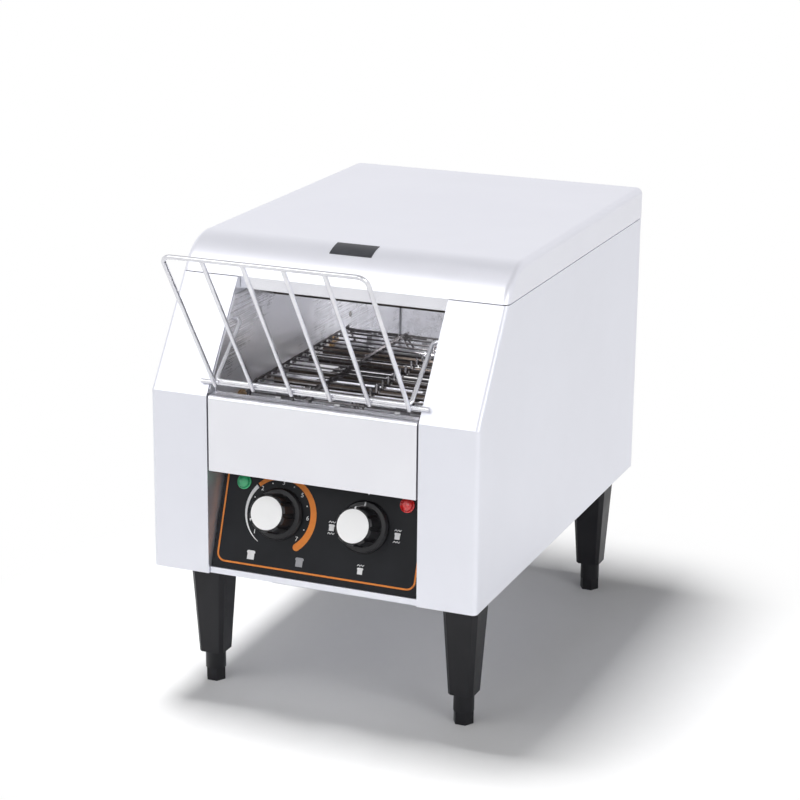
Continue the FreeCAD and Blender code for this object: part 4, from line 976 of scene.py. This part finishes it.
@dataclass
class TunnelScrews:
    """Domed screw heads with a cross recess on the left tunnel wall, in mm."""

    shop: Workshop
    wall: float = -92.2
    level: float = 272.4
    backs: tuple[float, float] = (-131.5, 119.5)
    radius: float = 2.6
    height: float = 1.5
    sides: int = 24
    dome: tuple[Point, ...] = ((1.0, -0.2), (1.0, 0.25), (0.86, 0.62), (0.6, 0.88), (0.34, 1.0), (0.3, 0.45))
    recess_level: int = 4

    def ring(self, mesh: bmesh.types.BMesh, pose: Matrix, level: int) -> list[bmesh.types.BMVert]:
        """One ring of a head; the recess levels reach out in a cross.

        Args:
            mesh: Mesh that the points go into.
            pose: The head's pose.
            level: Index of the ring in the dome's profile.

        Returns:
            The ring's points.
        """
        reach, rise = self.dome[level]
        points = []
        for side in range(self.sides):
            angle = 2 * math.pi * side / self.sides
            span = self.radius * reach
            if level >= self.recess_level:
                span *= 0.55 if side % 6 else 1.25
            spot = Vector((span * math.cos(angle), span * math.sin(angle), self.height * rise))
            points.append(mesh.verts.new(pose @ (spot * MM)))
        return points

    def build(self) -> None:
        """Set both heads on the wall."""
        mesh = bmesh.new()
        turn = Vector((0, 0, 1)).rotation_difference(Vector((1, 0, 0))).to_matrix().to_4x4()
        for back in self.backs:
            pose = Matrix.Translation(Vector((self.wall, back, self.level)) * MM) @ turn
            rings = [self.ring(mesh, pose, level) for level in range(len(self.dome))]
            for low, high in zip(rings, rings[1:]):
                for side in range(self.sides):
                    after = (side + 1) % self.sides
                    mesh.faces.new((low[side], low[after], high[after], high[side]))
            mesh.faces.new(rings[-1])
            mesh.faces.new(rings[0][::-1])
        item = self.shop.from_bmesh("tunnel_wall_screws", mesh)
        self.shop.keep(item, "chain", CASING, "zinc")


@dataclass(frozen=True)
class Lamp:
    """One square soft lamp, in metres and watts; gloss shows it if mirrored."""

    name: str
    place: tuple[float, float, float]
    aim: tuple[float, float, float]
    size: float
    power: float
    mirrored: bool = True

    def hang(self) -> None:
        """Add the lamp, facing its aim and hidden from the camera."""
        data = bpy.data.lights.new(self.name, "AREA")
        data.shape = "SQUARE"
        data.size = self.size
        data.energy = self.power
        item = bpy.data.objects.new(self.name, data)
        bpy.context.scene.collection.objects.link(item)
        turn = (Vector(self.aim) - Vector(self.place)).to_track_quat("-Z", "Y").to_matrix().to_4x4()
        item.matrix_world = Matrix.Translation(Vector(self.place)) @ turn
        item.visible_camera = False
        item.visible_glossy = self.mirrored


MIDDLE = (0.0, 0.0, 0.2)
LAMPS = (
    Lamp("key", (-1.2, -1.7, 2.1), MIDDLE, 2.0, 17.0),
    Lamp("fill", (2.1, -1.3, 1.0), MIDDLE, 1.4, 15.0),
    Lamp("top", (-0.35, 0.0, 2.2), MIDDLE, 0.6, 50.0, mirrored=False),
    Lamp("mouth", (0.25, -1.5, 0.95), (0.0, 0.1, 0.28), 0.5, 1.8),
    Lamp("inside", (0.03, 0.03, 0.318), (0.03, 0.15, 0.285), 0.05, 0.42),
)


@dataclass
class Studio:
    """Pale floor, soft lamps, white surroundings and the camera."""

    camera_place: tuple[float, float, float] = (0.7456, -1.8004, 0.8180)
    camera_right: tuple[float, float, float] = (0.92405, 0.38215, 0.00970)
    camera_forward: tuple[float, float, float] = (-0.36349, 0.88621, -0.28724)
    lens: float = 105.65
    sky_levels: tuple[Point, ...] = ((0.0, 0.85), (0.62, 0.93), (0.68, 0.92), (0.76, 0.78), (0.86, 0.66),
                                     (0.94, 0.52), (1.0, 0.80))
    sky_strength: float = 0.26
    floor_half: float = 6.0
    shadow_centre: tuple[float, float, float] = (0.03, 0.0, 0.0)
    fade_start: float = 0.27
    fade_end: float = 0.44

    def camera(self) -> None:
        """Set the camera at the photograph's viewing angle."""
        data = bpy.data.cameras.new("view")
        data.lens = self.lens
        data.sensor_width = 36.0
        data.clip_end = 50.0
        item = bpy.data.objects.new("view", data)
        bpy.context.scene.collection.objects.link(item)
        forward = Vector(self.camera_forward).normalized()
        up = Vector(self.camera_right).cross(forward).normalized()
        turn = Matrix((forward.cross(up), up, -forward)).transposed().to_4x4()
        item.matrix_world = Matrix.Translation(Vector(self.camera_place)) @ turn
        bpy.context.scene.camera = item

    def surroundings(self) -> None:
        """White to the camera, graded to gloss, and softer for the light on the object."""
        world = bpy.data.worlds.new("surroundings")
        bpy.context.scene.world = world
        shader = Shader(world)
        sides = shader.node("ShaderNodeTexCoord", output="Generated")
        rise = shader.node("ShaderNodeSeparateXYZ", None, {0: sides}, output="Z")
        share = shader.node("ShaderNodeMapRange", None, {"Value": rise, "From Min": -1.0})
        stops = [(place, (level, level, level * 1.02)) for place, level in self.sky_levels]
        sky = shader.node("ShaderNodeValToRGB", {"stops": stops}, {"Fac": share}, output="Color")
        soft = shader.node("ShaderNodeBackground", None, {"Color": sky, "Strength": self.sky_strength})
        glossy = shader.node("ShaderNodeBackground", None, {"Color": sky})
        white = shader.node("ShaderNodeBackground", None, {"Color": (1.0, 1.0, 1.0, 1.0)})
        shine = shader.node("ShaderNodeLightPath", output="Is Glossy Ray")
        seen = shader.node("ShaderNodeLightPath", output="Is Camera Ray")
        light = shader.node("ShaderNodeMixShader", None, {0: shine, 1: soft, 2: glossy})
        view = shader.node("ShaderNodeMixShader", None, {0: seen, 1: light, 2: white})
        shader.node("ShaderNodeOutputWorld", None, {"Surface": view})

    def floor(self) -> None:
        """Pale floor that keeps the object's shadow and looks white to the camera."""
        mesh = bmesh.new()
        bmesh.ops.create_grid(mesh, x_segments=8, y_segments=8, size=self.floor_half)
        data = bpy.data.meshes.new("floor")
        mesh.to_mesh(data)
        mesh.free()
        item = bpy.data.objects.new("floor", data)
        bpy.context.scene.collection.objects.link(item)
        shader = Shader.material("floor_paper")
        fine = shader.noise(shader.place(), 60.0, 3.0)
        paper = shader.blend(fine, (0.80, 0.80, 0.80), (0.82, 0.82, 0.82))
        shade = shader.node("ShaderNodeBsdfPrincipled", None, {
            "Base Color": paper, "Roughness": 1.0, "Specular IOR Level": 0.0})
        away = shader.node("ShaderNodeVectorMath", {"operation": "DISTANCE"},
                           {0: shader.place(), 1: self.shadow_centre}, output="Value")
        camera = shader.node("ShaderNodeLightPath", output="Is Camera Ray")
        seen = camera.math("MAXIMUM", camera, shader.node("ShaderNodeLightPath", output="Is Glossy Ray"))
        white = shader.node("ShaderNodeEmission", None, {"Color": (1.0, 1.0, 1.0, 1.0), "Strength": 1.0})
        fade = seen * away.within(self.fade_start, self.fade_end)
        result = shader.node("ShaderNodeMixShader", None, {0: fade, 1: shade, 2: white})
        shader.node("ShaderNodeOutputMaterial", None, {"Surface": result})
        data.materials.append(shader.owner)

    def build(self) -> None:
        """Set up the whole studio."""
        self.camera()
        self.surroundings()
        self.floor()
        for lamp in LAMPS:
            lamp.hang()
        bpy.context.scene.view_settings.view_transform = "Standard"


def main() -> None:
    """Dress the toaster."""
    logging.basicConfig(level=logging.INFO, format="%(name)s: %(message)s")
    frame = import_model()
    shop = Workshop(frame)
    shop.dress_nodes()
    PrintedScale(shop).build()
    KnobMarks(shop).build()
    LoadRack(shop).build()
    LidPlate(shop).build()
    TunnelScrews(shop).build()
    Studio().build()


if __name__ == "__main__":
    main()
